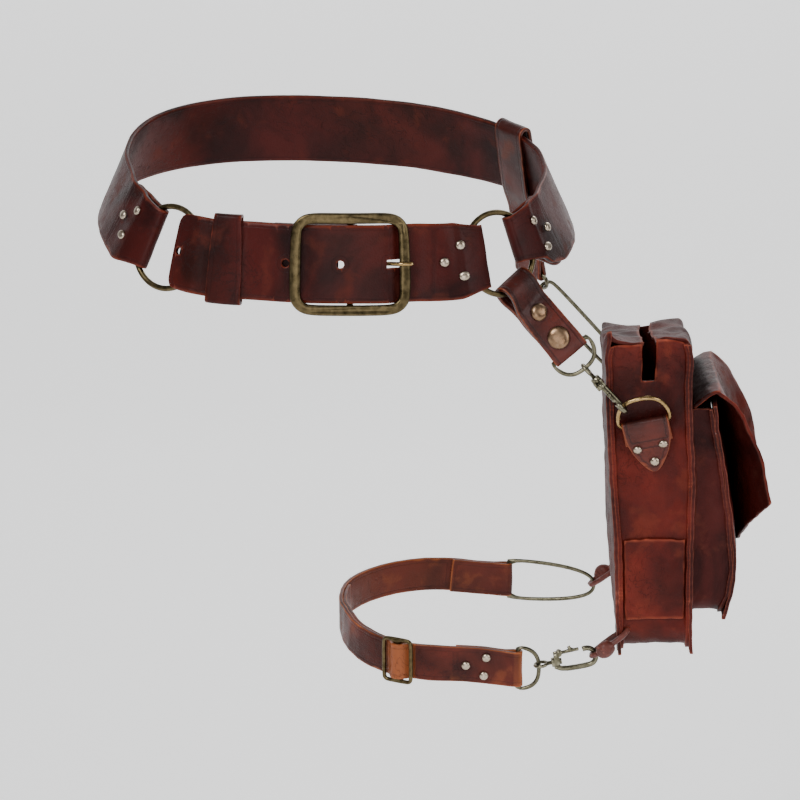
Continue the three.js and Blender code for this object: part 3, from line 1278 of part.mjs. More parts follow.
const THIGH_END = foldedEnd({
  seat: 0, radius: SMALL_WIRE / 2 + GAP + THIGH_LEATHER / 2, layer: THIGH_LEATHER + GAP,
  from: SMALL_WIRE / 2, to: 11, tail: THIGH_TAIL, halfAt: () => THIGH_STRAP_WIDTH / 2, step: STRAP_STEP,
});
const SLIDER_RISE = THIGH_LEATHER / 2 + GAP + SLIDER_WIRE / 2;
const SLIDER_ROWS = [
  { at: 0.07, height: 2 * SLIDER_RISE + GAP / 2 }, { at: 0.34, height: 0 },
];

function thighRise(reach) {
  const fromSlider = Math.abs(reach - SLIDER_PLACE) / SLIDER_LENGTH;
  return fromSlider < 0.34 ? through(SLIDER_ROWS, Math.max(fromSlider, 0.07)) : 0;
}

function thighStrap() {
  const half = THIGH_STRAP_WIDTH / 2;
  const front = THIGH_END.line.map(({ past, rise }) => ({ along: -past, rise, half }));
  const rear = THIGH_END.line.map(({ past, rise }) => ({ along: past - THIGH_LENGTH, rise, half })).reverse();
  const near = SLIDER_PLACE - SLIDER_LENGTH / 2;
  const far = SLIDER_PLACE + SLIDER_LENGTH / 2;
  const run = [
    ...spaced(11, near, STRAP_STEP).slice(1), ...spaced(near, far, 2).slice(1),
    ...spaced(far, THIGH_LENGTH - 11, 1.4 * STRAP_STEP).slice(1, -1),
  ].map((reach) => ({ along: -reach, rise: thighRise(reach), half }));
  return piece('thigh_strap', strap([...front, ...run, ...rear], thighFrame, THIGH_LEATHER), BELT_FINISH);
}

// The adjusting end lies inside the strap, behind the slider.
function thighTail() {
  const half = THIGH_STRAP_WIDTH / 2 - 0.6;
  const line = spaced(SLIDER_PLACE - 8, SLIDER_PLACE + SLIDER_TAIL, 1.4 * STRAP_STEP).map((reach) => {
    return { along: -reach, rise: -THIGH_LEATHER - GAP, half };
  });
  return piece('thigh_strap_end', strap(line, thighFrame, THIGH_LEATHER), BELT_FINISH);
}

function thighSlider() {
  const { place, ahead, out } = thighFrame(-SLIDER_PLACE);
  const loopLine = roundedRectangle(SLIDER_LENGTH - SLIDER_WIRE, SLIDER_HEIGHT - SLIDER_WIRE, 3, 2);
  const bar = [-1, 0, 1].map((share) => new THREE.Vector2(0, share * (SLIDER_HEIGHT - SLIDER_WIRE) / 2));
  const body = joined(wire(loopLine, SLIDER_WIRE, true), wire(bar, SLIDER_WIRE));
  return piece('slider', body, DARK_BRASS, place.addScaledVector(out, SLIDER_RISE), ahead, out);
}

const THIGH_RIVETS = [{ past: 35, across: -0.5 }, { past: 22, across: 6.5 }, { past: 22, across: -6.5 }];

function thighRivets() {
  const rise = (along) => THIGH_END.riseAt(Math.abs(along)) + THIGH_LEATHER / 2;
  return THIGH_RIVETS.map(({ past, across }, i) => {
    const name = `thigh_rivet_${i + 1}`;
    return capOn(name, thighFrame, rise, -past, across, RIVET_DIAMETER, RIVET_RISE, RIVET_FINISH);
  });
}

// A D-ring from a strap's end fold towards what it reaches.
function endRing(name, frame, towards, depth, width) {
  const { place, wide, out } = frame;
  const bar = place.clone().addScaledVector(out, -(THIGH_LEATHER + GAP) / 2);
  const run = square(towards.clone().sub(bar), wide);
  return piece(name, dRing(width, depth, SMALL_WIRE), DARK_BRASS, bar, wide, wide.clone().cross(run).negate());
}

function thighFront() {
  return [
    endRing('thigh_ring', thighFrame(0), THIGH_CATCH, THIGH_RING_DEPTH, THIGH_RING_WIDTH),
    ...swivelHook('lower_hook', LOWER_EYE, LOWER_RUN, LOWER_OUT, LOWER_OUT),
  ];
}

// Hidden rear side: one plain link closes the thigh strap, and a strap and a link carry the bag's far end
function thighRear() {
  const seat = thighFrame(-THIGH_LENGTH);
  const bar = seat.place.clone().addScaledVector(seat.out, -(THIGH_LEATHER + GAP) / 2);
  const tie = tieEnd(1);
  const reach = tie.clone().addScaledVector(tie.clone().sub(bar).normalize(), SMALL_WIRE + 2 * GAP);
  return endRing('thigh_rear_link', seat, reach, reach.distanceTo(bar), THIGH_RING_WIDTH);
}

const rearSeat = beltFrame(REAR_PLACE);
const REAR_TOP = rearSeat.place.clone().addScaledVector(rearSeat.wide, BELT_WIDTH / 2);
const REAR_BAR = REAR_TOP.clone().addScaledVector(rearSeat.wide, -REAR_LENGTH);
const rearFrame = straightFrame(REAR_TOP, REAR_BAR, rearSeat.ahead, rearSeat.ahead);
const REAR_SLACK = 2;

function rearStrap() {
  const around = BELT_LEATHER / 2 + GAP + REAR_SLACK + HANGER_LEATHER / 2;
  const { line } = doubledLine({
    length: REAR_LENGTH, first: { radius: around, hold: BELT_WIDTH + 1 },
    last: { radius: SMALL_FOLD, hold: SMALL_WIRE / 2 }, half: HANGER_WIDTH / 2, thickness: HANGER_LEATHER, step: 8,
  });
  return piece('rear_drop_strap', strap(line, rearFrame, HANGER_LEATHER, true), BELT_FINISH);
}

// A long link between two wires: it holds each of them inside one of its ends.
function longLink(name, from, to, facing) {
  const run = to.clone().sub(from).normalize();
  const straight = from.distanceTo(to) + 2 * (SMALL_WIRE + 2 * GAP) - LINK_WIDTH;
  const half = LINK_WIDTH / 2;
  const end = (side) => spaced(-90, 90, 180 / ARC_STEPS).map((angle) => {
    const turn = degToRad(angle + (side < 0 ? 180 : 0));
    return new THREE.Vector2((side * straight) / 2 + half * Math.cos(turn), half * Math.sin(turn));
  });
  const link = wire([...end(1), ...end(-1)], SMALL_WIRE, true);
  return piece(name, link, DARK_BRASS, from.clone().lerp(to, 0.5), run, square(facing, run));
}

function rearHanger() {
  const ring = dRing(DROP_RING_WIDTH, DROP_RING_DEPTH, SMALL_WIRE);
  const upper = bagPoint(bowPoint(ringStand(1, 0, REAR_RING_LEAN), BAG_RING, REAR_CATCH_TURN));
  const { wide } = rearFrame(REAR_LENGTH);
  const rise = square(upper.clone().sub(REAR_BAR), wide);
  const bow = spaced(30, 150, 5).map((turn) => bowPoint({ bar: REAR_BAR, wide, rise }, DROP_RING, turn));
  const lower = bow.reduce((best, point) => (point.distanceTo(upper) < best.distanceTo(upper) ? point : best));
  return [
    rearStrap(), piece('rear_ring', ring, DARK_BRASS, REAR_BAR, wide, wide.clone().cross(rise).negate()),
    longLink('rear_link', lower, upper, wide.clone().add(vec(0, 1, 0)).normalize()),
  ];
}

export default (() => {
  const worn = new THREE.Group();
  worn.add(
    beltTongue(), beltBuckleStrap(), beltBack(), buckleFrame(), buckleProng(), beltKeeper(),
    beltRing('ring_right', RINGS.right), beltRing('ring_left', RINGS.left),
    ...beltRivets('tongue_rivet', RINGS.right, -1, TONGUE_RIVETS),
    ...beltRivets('right_rivet', RINGS.right, 1, SIDE_RIVETS),
    ...beltRivets('left_rivet', RINGS.left, -1, SIDE_RIVETS),
    dropStrap(), ...dropCaps(), dropRing(), ...upperHook(), bag(),
    thighStrap(), thighTail(), thighSlider(), ...thighRivets(), ...thighFront(),
    thighRear(), ...rearHanger(),
  );
  worn.position.z = -BELT_MEAN_HEIGHT;
  return worn;
})();
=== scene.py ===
"""Belt bag: its dressed visual model over the CAD frame, with finishes, camera, light and floor.

Lengths are metres in the frame's axes: +Z up, -Y the wearer's front, +X the side that carries the bag.
"""

import json
import logging
import math
from collections.abc import Callable
from dataclasses import dataclass, field
from enum import Enum

import bmesh
import bpy
import numpy as np
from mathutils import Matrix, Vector

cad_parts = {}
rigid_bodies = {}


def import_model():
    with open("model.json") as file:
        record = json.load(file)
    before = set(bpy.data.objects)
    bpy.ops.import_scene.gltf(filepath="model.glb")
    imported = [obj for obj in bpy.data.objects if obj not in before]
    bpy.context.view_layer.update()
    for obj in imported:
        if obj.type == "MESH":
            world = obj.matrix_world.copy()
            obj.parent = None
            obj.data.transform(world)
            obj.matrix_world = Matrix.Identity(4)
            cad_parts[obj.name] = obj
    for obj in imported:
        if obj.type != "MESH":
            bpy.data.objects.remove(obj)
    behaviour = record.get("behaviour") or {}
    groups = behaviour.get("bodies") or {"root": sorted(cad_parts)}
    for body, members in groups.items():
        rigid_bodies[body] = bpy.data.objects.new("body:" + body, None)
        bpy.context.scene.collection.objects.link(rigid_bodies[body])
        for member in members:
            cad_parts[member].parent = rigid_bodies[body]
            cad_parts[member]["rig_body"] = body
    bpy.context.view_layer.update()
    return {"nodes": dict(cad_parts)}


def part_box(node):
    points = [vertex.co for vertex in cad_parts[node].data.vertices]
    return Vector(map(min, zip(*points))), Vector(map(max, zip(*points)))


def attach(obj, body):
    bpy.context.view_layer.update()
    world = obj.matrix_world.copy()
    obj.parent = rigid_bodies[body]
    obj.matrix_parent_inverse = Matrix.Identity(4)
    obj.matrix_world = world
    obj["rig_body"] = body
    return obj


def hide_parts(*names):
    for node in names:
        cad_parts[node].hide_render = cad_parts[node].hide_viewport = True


LOG = logging.getLogger("belt_bag")
MM = 0.001
WAVES = 14
CORNER_STEP = 2 * MM
BEND_REACH = 4 * MM

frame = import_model()


class Value:
    """A number socket of a material, with arithmetic that adds Math nodes."""

    def __init__(self, shader: "Shader", socket: bpy.types.NodeSocket) -> None:
        """Wrap one output socket."""
        self.shader = shader
        self.socket = socket

    def _math(self, operation: str, *terms: "Value | float") -> "Value":
        """One Math node on the given terms."""
        return self.shader.node("ShaderNodeMath", {"operation": operation}, dict(enumerate(terms)))

    def __add__(self, other: "Value | float") -> "Value":
        """This value plus another."""
        return self._math("ADD", self, other)

    def __sub__(self, other: "Value | float") -> "Value":
        """This value less another."""
        return self._math("SUBTRACT", self, other)

    def __rsub__(self, other: "Value | float") -> "Value":
        """Another value less this one."""
        return self._math("SUBTRACT", other, self)

    def __mul__(self, other: "Value | float") -> "Value":
        """This value times another."""
        return self._math("MULTIPLY", self, other)

    __radd__ = __add__
    __rmul__ = __mul__

    def ramp(self, low: float, high: float) -> "Value":
        """0 below low, 1 above high and a smooth step between; low above high turns it round."""
        settings = {"interpolation_type": "SMOOTHSTEP"}
        return self.shader.node("ShaderNodeMapRange", settings, {0: self, 1: low, 2: high, 3: 0.0, 4: 1.0})

    def near(self, centre: float, width: float) -> "Value":
        """1 at the centre value and 0 a width away from it."""
        return self._math("ABSOLUTE", self - centre).ramp(width, 0.0)


class Shader:
    """A material under construction: a principled surface and the nodes that feed it."""

    def __init__(self, name: str) -> None:
        """Start an empty material with its surface and output."""
        self.material = bpy.data.materials.new(name)
        self.material.use_nodes = True
        self.tree = self.material.node_tree
        self.tree.nodes.clear()
        self.surface = self.tree.nodes.new("ShaderNodeBsdfPrincipled")
        output = self.tree.nodes.new("ShaderNodeOutputMaterial")
        self.tree.links.new(self.surface.outputs[0], output.inputs[0])
        self.place = self.node("ShaderNodeTexCoord", {}, {}, "Object")

    def node(self, kind: str, settings: dict, sockets: dict, output: str | int = 0) -> Value:
        """Add one node.

        Args:
            kind: the node's type.
            settings: its properties, set first.
            sockets: values or links by input name or index.
            output: the output that is wrapped.

        Returns:
            The wrapped output.
        """
        made = self.tree.nodes.new(kind)
        for key, setting in settings.items():
            setattr(made, key, setting)
        for key, value in sockets.items():
            self.feed(made.inputs[key], value)
        return Value(self, made.outputs[output])

    def feed(self, socket: bpy.types.NodeSocket, value: "Value | float | tuple") -> None:
        """Link a value to a socket, or set the socket to it."""
        if isinstance(value, Value):
            self.tree.links.new(value.socket, socket)
        else:
            socket.default_value = value

    def noise(self, scale: float, detail: float = 3.0, distortion: float = 0.0) -> Value:
        """Soft noise over the piece, its scale in features a metre."""
        sockets = {"Vector": self.place, "Scale": scale, "Detail": detail, "Distortion": distortion}
        return self.node("ShaderNodeTexNoise", {}, sockets)

    def cells(self, scale: float) -> Value:
        """Distance to the nearest cell centre of a pebble pattern."""
        return self.node("ShaderNodeTexVoronoi", {}, {"Vector": self.place, "Scale": scale})

    def attribute(self, name: str) -> Value:
        """A number stored on the piece's vertices."""
        return self.node("ShaderNodeAttribute", {"attribute_name": name}, {}, "Fac")

    def mixed(self, share: Value, first: "Value | tuple", second: "Value | tuple") -> Value:
        """A colour between two colours by a share."""
        settings = {"data_type": "RGBA"}
        return self.node("ShaderNodeMix", settings, {0: share, 6: first, 7: second}, 2)

    def bump(self, height: Value, strength: float, depth: float) -> None:
        """Give the surface a relief."""
        sockets = {"Strength": strength, "Distance": depth, "Height": height}
        self.feed(self.surface.inputs["Normal"], self.node("ShaderNodeBump", {}, sockets))

    def set(self, **values: "Value | float | tuple") -> None:
        """Feed the surface's sockets, named with underscores for blanks."""
        for key, value in values.items():
            self.feed(self.surface.inputs[key.replace("_", " ")], value)


@dataclass(frozen=True)
class PullUpLeather:
    """Waxed leather: dark mottled body, grain, dry creases, paler where it bends or is cut, and painted shade on
    faces turned a given way.
    """

    name: str
    slot: str
    deep: tuple
    body: tuple
    pale: tuple
    crease_line: float = 0.0
    grain: float = 900.0
    wear: float = 1.0
    shine: float = 0.36
    matt: float = 0.3

    def material(self) -> bpy.types.Material:
        """Build the finish."""
        s = Shader(self.name)
        mottle = s.noise(22.0, 5.0, 0.6).ramp(0.32, 0.68)
        patch = s.noise(7.0, 2.0, 0.3).ramp(0.45, 0.75)
        vein = s.noise(75.0, 7.0, 1.8).near(0.5, 0.02) * s.noise(14.0).ramp(0.42, 0.62)
        fine = s.noise(420.0, 4.0, 0.8)
        scuff = s.noise(60.0, 7.0, 0.2).ramp(0.56, 0.72)
        rim = s.attribute("rim")
        edge = rim.ramp(1.1 * MM, 0.15 * MM)
        groove = rim.near(3.2 * MM, 0.7 * MM) * self.crease_line
        bend = s.attribute("worn").ramp(0.1, 0.9)
        dark = tuple(0.35 * c for c in self.deep[:3]) + (1.0,)
        cut = tuple(min(1.0, 1.4 * c) for c in self.pale[:3]) + (1.0,)
        tone = s.mixed(mottle * 0.85, self.deep, self.body)
        tone = s.mixed(bend * (0.6 * self.wear) + scuff * (0.14 * self.wear) + patch * 0.1, tone, self.pale)
        tone = s.mixed(vein * 0.45, tone, dark)
        tone = s.mixed(edge * (0.1 + 0.45 * scuff) * self.wear, tone, cut)
        tone = s.mixed(groove * 0.75, tone, dark)
        # painted shade: faces turned towards the piece's shaded direction are darkened
        tone = s.mixed(s.attribute("painted_shade") * 0.8, tone, dark)
        s.set(Base_Color=tone, Roughness=self.matt + 0.2 * fine + 0.14 * scuff + 0.12 * vein, IOR=1.45)
        s.set(Coat_Weight=0.28 * self.shine, Coat_Roughness=0.25, Specular_IOR_Level=self.shine)
        relief = s.noise(130.0, 4.0, 0.6) * 1.3 - vein * 0.9 - groove * 2.0
        s.bump(s.cells(self.grain) * 0.45 + fine * 0.6 + relief, 0.5, 0.4 * MM)
        return s.material


@dataclass(frozen=True)
class AgedBrass:
    """Cast or drawn brass: brown-green in its hollows, bright where it rubs, with fine scratches."""

    name: str
    slot: str
    dark: tuple
    bright: tuple
    gloss: float = 0.3

    def material(self) -> bpy.types.Material:
        """Build the finish."""
        s = Shader(self.name)
        stain = s.noise(260.0, 6.0, 0.4).ramp(0.3, 0.75)
        speck = s.noise(900.0, 3.0).ramp(0.55, 0.8)
        rub = s.attribute("worn").ramp(0.1, 0.9)
        tone = s.mixed(stain * 0.3 + rub * 0.45, self.dark, self.bright)
        tone = s.mixed(speck * 0.35, tone, tuple(0.35 * c for c in self.dark[:3]) + (1.0,))
        s.set(Base_Color=tone, Metallic=1.0, Roughness=self.gloss + 0.12 * stain + 0.15 * speck)
        s.bump(s.noise(500.0, 5.0) + speck * 0.6, 0.12, 0.15 * MM)
        return s.material


class Finish(Enum):
    """The finishes of the belt bag."""

    BELT = PullUpLeather(
        "belt_leather", "belt_leather", (0.011, 0.0018, 0.0015, 1), (0.052, 0.006, 0.0046, 1),
        (0.17, 0.03, 0.013, 1),
        crease_line=0.3, shine=0.12)
    STRAP = PullUpLeather(
        "strap_leather", "belt_leather", (0.019, 0.003, 0.0021, 1), (0.088, 0.0125, 0.0072, 1),
        (0.27, 0.062, 0.02, 1),
        crease_line=0.8, shine=0.24)
    THIGH = PullUpLeather(
        "thigh_leather", "belt_leather", (0.024, 0.0038, 0.0026, 1), (0.1, 0.0155, 0.0085, 1),
        (0.4, 0.115, 0.036, 1),
        crease_line=0.35, shine=0.16)
    BAG = PullUpLeather(
        "bag_leather", "bag_leather", (0.021, 0.0022, 0.0016, 1), (0.108, 0.0098, 0.0056, 1),
        (0.28, 0.055, 0.027, 1),
        grain=760.0, shine=0.12, matt=0.34)
    # darker, matter bag leather: the panels' finish, and painted shade where it is put on the pocket gusset
    PANEL_AND_PAINTED_SHADE = PullUpLeather(
        "panel_and_painted_shade_leather", "bag_leather", (0.017, 0.003, 0.0028, 1), (0.07, 0.0105, 0.0085, 1),
        (0.24, 0.068, 0.044, 1),
        grain=760.0, wear=1.1, shine=0.1, matt=0.42)
    TIE = PullUpLeather(
        "tie_leather", "tie_leather", (0.045, 0.009, 0.007, 1), (0.15, 0.036, 0.027, 1),
        (0.36, 0.125, 0.09, 1),
        grain=1300.0, shine=0.26)
    DARK_BRASS = AgedBrass("dark_brass", "dark_brass", (0.058, 0.043, 0.02, 1), (0.28, 0.21, 0.105, 1), 0.27)
    HOOK_BRASS = AgedBrass("hook_brass", "dark_brass", (0.075, 0.068, 0.042, 1), (0.36, 0.33, 0.23, 1), 0.25)
    CAP_BRASS = AgedBrass("cap_brass", "dark_brass", (0.17, 0.098, 0.055, 1), (0.5, 0.35, 0.22, 1), 0.25)
    BRIGHT_BRASS = AgedBrass(
        "bright_brass", "bright_brass", (0.26, 0.165, 0.065, 1), (0.7, 0.5, 0.24, 1), 0.2)
    RIVET = AgedBrass("rivet_brass", "rivet_brass", (0.34, 0.27, 0.2, 1), (0.8, 0.72, 0.6, 1), 0.22)


class Finishes:
    """Materials made once for each finish."""

    def __init__(self) -> None:
        """Start with none made."""
        self.made: dict[Finish, bpy.types.Material] = {}

    def of(self, finish: Finish) -> bpy.types.Material:
        """The material of a finish."""
        if finish not in self.made:
            self.made[finish] = finish.value.material()
        return self.made[finish]


def mesh_points(mesh: bpy.types.Mesh) -> np.ndarray:
    """The vertices of a mesh as rows."""
    flat = np.empty(3 * len(mesh.vertices))
    mesh.vertices.foreach_get("co", flat)
    return flat.reshape(-1, 3)


def mesh_normals(mesh: bpy.types.Mesh) -> np.ndarray:
    """The vertex normals of a mesh as rows."""
    flat = np.empty(3 * len(mesh.vertices))
    mesh.vertex_normals.foreach_get("vector", flat)
    return flat.reshape(-1, 3)


def bend_of(mesh: bpy.types.Mesh) -> np.ndarray:
    """How convex a mesh is at each vertex.

    The share is -(mean of the neighbours - v) . n / mean edge length, so a flat place gives 0.

    Args:
        mesh: the finished mesh.

    Returns:
        One number a vertex, from 0 to 1.
    """
    points, normals = mesh_points(mesh), mesh_normals(mesh)
    ends = np.empty(2 * len(mesh.edges), dtype=np.int64)
    mesh.edges.foreach_get("vertices", ends)
    a, b = ends.reshape(-1, 2).T
    total, length, count = np.zeros_like(points), np.zeros(len(points)), np.zeros(len(points))
    run = points[b] - points[a]
    size = np.linalg.norm(run, axis=1)
    for own, other, sign in ((a, b, 1.0), (b, a, -1.0)):
        np.add.at(total, own, sign * run)
        np.add.at(length, own, size)
        np.add.at(count, own, 1.0)
    lean = -(total * normals).sum(1) / np.maximum(length, 1e-9)
    return np.clip(3.0 * lean, 0.0, 1.0)


def swell_noise(points: np.ndarray, size: float, seed: int) -> np.ndarray:
    """Smooth seeded waves: the sum of sin(k . p + phase) over the root of their number, with k about 2 pi / size.

    Args:
        points: places as rows.
        size: the length of a wave.
        seed: which set of waves.

    Returns:
        One number a place, mostly from -1 to 1.
    """
    rng = np.random.default_rng(seed)
    waves = rng.normal(size=(WAVES, 3))
    lengths = np.linalg.norm(waves, axis=1, keepdims=True)
    waves *= (2 * math.pi / size) * rng.uniform(0.6, 1.5, (WAVES, 1)) / lengths
    return np.sin(points @ waves.T + rng.uniform(0, 2 * math.pi, WAVES)).sum(1) / math.sqrt(WAVES)


@dataclass
class DressedPiece:
    """A finer piece in the place of one CAD node: evened faces, rounded edges, soft waves and its finish."""

    node: str
    finish: Finish
    levels: int = 2
    crease: float = 0.72
    corner_degrees: float = 58.0
    across: float = 0.0
    swell: float = 0.0
    wave: float = 0.0
    wave_size: float = 40 * MM
    ragged: float = 0.0
    seed: int = 1
    bent_by: tuple = ()
    # direction whose facing vertices get painted shade
    painted_shade_toward: tuple | None = None
    shape: Callable[[np.ndarray], np.ndarray] | None = None

    def base(self) -> tuple[bpy.types.Mesh, np.ndarray]:
        """Copy the CAD node's mesh and prepare its faces.

        Returns:
            The mesh ready for subdivision, and sample points on its corners.
        """
        mesh = frame["nodes"][self.node].data.copy()
        mesh.name = f"{self.node}_dressed"
        form = bmesh.new()
        form.from_mesh(mesh)
        bmesh.ops.remove_doubles(form, verts=form.verts, dist=0.002 * MM)
        bmesh.ops.join_triangles(
            form, faces=form.faces, angle_face_threshold=0.35, angle_shape_threshold=1.2)
        if self.across:
            wide = [e for e in form.edges if e.calc_length() > self.across]
            bmesh.ops.subdivide_edges(form, edges=wide, cuts=4, use_grid_fill=True)
        limit = math.radians(self.corner_degrees)
        layer = form.edges.layers.float.new("crease_edge")
        samples = []
        for edge in form.edges:
            if len(edge.link_faces) == 2 and edge.calc_face_angle(0.0) > limit:
                edge[layer] = self.crease
                a, b = (v.co for v in edge.verts)
                steps = max(1, int((b - a).length / CORNER_STEP))
                samples += [a.lerp(b, i / steps) for i in range(steps)]
        form.to_mesh(mesh)
        form.free()
        return mesh, np.array([tuple(p) for p in samples]).reshape(-1, 3)

    def rim_of(self, points: np.ndarray, corners: np.ndarray) -> np.ndarray:
        """Distance of each point from the nearest corner sample: |p - c|^2 = p.p + c.c - 2 p.c."""
        if not len(corners):
            return np.full(len(points), 1.0)
        nearest = np.empty(len(points))
        for start in range(0, len(points), 4000):
            part = points[start:start + 4000]
            squares = (part ** 2).sum(1)[:, None] + (corners ** 2).sum(1)[None] - 2 * part @ corners.T
            nearest[start:start + 4000] = np.sqrt(np.maximum(squares.min(1), 0.0))
        return nearest

    def waved(self, points: np.ndarray) -> np.ndarray:
        """The points with the slack waves, and shorter ones for a hand-cut outline, added."""
        lift = swell_noise(points, self.wave_size, self.seed)
        lift = lift + 0.3 * swell_noise(points, 0.4 * self.wave_size, self.seed + 1)
        moved = points + self.wave * lift[:, None] * np.array([1.0, 0.45, 0.35])
        rough = np.stack([swell_noise(points, 11 * MM, self.seed + turn) for turn in (2, 3, 4)], axis=1)
        moved += self.ragged * rough
        return self.shape(moved) if self.shape else moved

    def worn_of(self, mesh: bpy.types.Mesh, points: np.ndarray) -> np.ndarray:
        """How rubbed each vertex is: its convexity, or its closeness to metal that bends the leather."""
        worn = bend_of(mesh)
        for node in self.bent_by:
            low, high = (np.array(corner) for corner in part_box(node))
            away = np.linalg.norm(np.maximum(np.maximum(low - points, points - high), 0.0), axis=1)
            worn = np.maximum(worn, np.clip(0.7 - away / BEND_REACH, 0.0, 1.0))
        return worn

    def painted_shade_of(self, mesh: bpy.types.Mesh) -> np.ndarray:
        """Painted shade: 1 where a vertex faces the given shaded direction, else 0."""
        if self.painted_shade_toward is None:
            return np.zeros(len(mesh.vertices))
        return np.clip(4.0 * (mesh_normals(mesh) @ np.array(self.painted_shade_toward)), 0.0, 1.0)

    def build(self, finishes: Finishes) -> bpy.types.Object:
        """Make the piece, dress it and set it on its node's body.

        Args:
            finishes: the materials.

        Returns:
            The finished object.
        """
        mesh, corners = self.base()
        raw = bpy.data.objects.new(f"{self.node}_raw", mesh)
        bpy.context.scene.collection.objects.link(raw)
        if self.swell:
            points = mesh_points(mesh) + self.swell * mesh_normals(mesh)
            mesh.vertices.foreach_set("co", points.ravel())
            mesh.update()
        modifier = raw.modifiers.new("rounding", "SUBSURF")
        modifier.levels = modifier.render_levels = self.levels
        bpy.context.view_layer.update()
        graph = bpy.context.evaluated_depsgraph_get()
        final = bpy.data.meshes.new_from_object(raw.evaluated_get(graph))
        bpy.data.objects.remove(raw)
        points = mesh_points(final)
        rim = self.rim_of(points, corners)
        if self.wave or self.shape:
            points = self.waved(points)
            final.vertices.foreach_set("co", points.ravel())
            final.update()
        measures = {"rim": rim, "worn": self.worn_of(final, points), "painted_shade": self.painted_shade_of(final)}
        for name, values in measures.items():
            layer = final.attributes.new(name, "FLOAT", "POINT")
            layer.data.foreach_set("value", values.astype(np.float32))
        final.shade_smooth()
        final.name = f"{self.node}_visual"
        final.materials.clear()
        final.materials.append(finishes.of(self.finish))
        piece = bpy.data.objects.new(f"{self.node}_visual", final)
        bpy.context.scene.collection.objects.link(piece)
        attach(piece, frame["nodes"][self.node]["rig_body"])
        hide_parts(self.node)
        LOG.info("%s: %d faces", piece.name, len(final.polygons))
        return piece


class Group:
    """A sub-assembly: dressed pieces that are built in order."""

    def pieces(self) -> list[DressedPiece]:
        """The pieces of the sub-assembly."""
        raise NotImplementedError

    def build(self, finishes: Finishes) -> None:
        """Build every piece."""
        for piece in self.pieces():
            piece.build(finishes)


@dataclass
class Belt(Group):
    """The hip belt: straps, keeper, rings, buckle and rivets."""

    straps: tuple = ("belt_tongue", "belt_buckle_strap", "belt_back", "belt_keeper")
    rings: tuple = ("ring_right", "ring_left")
    rivet_ends: tuple = ("tongue", "right", "left")
    wave: float = 0.28 * MM

    def pieces(self) -> list[DressedPiece]:
        """Straps with a pressed edge line, round rings, the cast buckle and its prong."""
        straps = [DressedPiece(n, Finish.BELT, across=15 * MM, wave=self.wave, wave_size=45 * MM)
                  for n in self.straps]
        rings = [DressedPiece(n, Finish.DARK_BRASS, swell=0.34 * MM, corner_degrees=80) for n in self.rings]
        buckle = [DressedPiece("buckle_frame", Finish.DARK_BRASS, crease=0.0, swell=0.5 * MM, levels=3),
                  DressedPiece("buckle_prong", Finish.BRIGHT_BRASS, swell=0.3 * MM, corner_degrees=80)]
        return straps + rings + buckle + rivets(self.rivet_ends)


def rivets(ends: tuple, wave: float = 0.0, wave_size: float = 40 * MM, seed: int = 1) -> list[DressedPiece]:
    """The three rivets of each riveted end, moved by the waves of the leather that they sit on."""
    names = [f"{end}_rivet_{i}" for end in ends for i in (1, 2, 3)]
    return [DressedPiece(n, Finish.RIVET, swell=0.45 * MM, corner_degrees=70, crease=0.4, wave=wave,
                         wave_size=wave_size, seed=seed) for n in names]


@dataclass
class Hangers(Group):
    """The drop strap with its caps and the wires that carry the bag, front and rear."""

    wires: tuple = ("drop_ring", "rear_ring", "rear_link", "thigh_ring", "thigh_rear_link")
    hooks: tuple = ("upper_hook", "lower_hook")

    def pieces(self) -> list[DressedPiece]:
        """Doubled straps, domed caps, rings and the cast swivel hooks."""
        straps = [DressedPiece(n, Finish.STRAP, across=15 * MM, wave=0.3 * MM, wave_size=30 * MM)
                  for n in ("drop_strap", "rear_drop_strap")]
        caps = [DressedPiece(n, Finish.CAP_BRASS, swell=0.5 * MM, corner_degrees=70, crease=0.4)
                for n in ("snap_cap_1", "snap_cap_2", "flap_stud")]
        rings = [DressedPiece(n, Finish.HOOK_BRASS, swell=0.27 * MM, corner_degrees=80) for n in self.wires]
        hooks = [DressedPiece(f"{hook}_{part}", Finish.HOOK_BRASS, levels=1, swell=0.2 * MM,
                              corner_degrees=50, crease=0.9)
                 for hook in self.hooks for part in ("eye", "body", "gate")]
        return straps + caps + rings + hooks


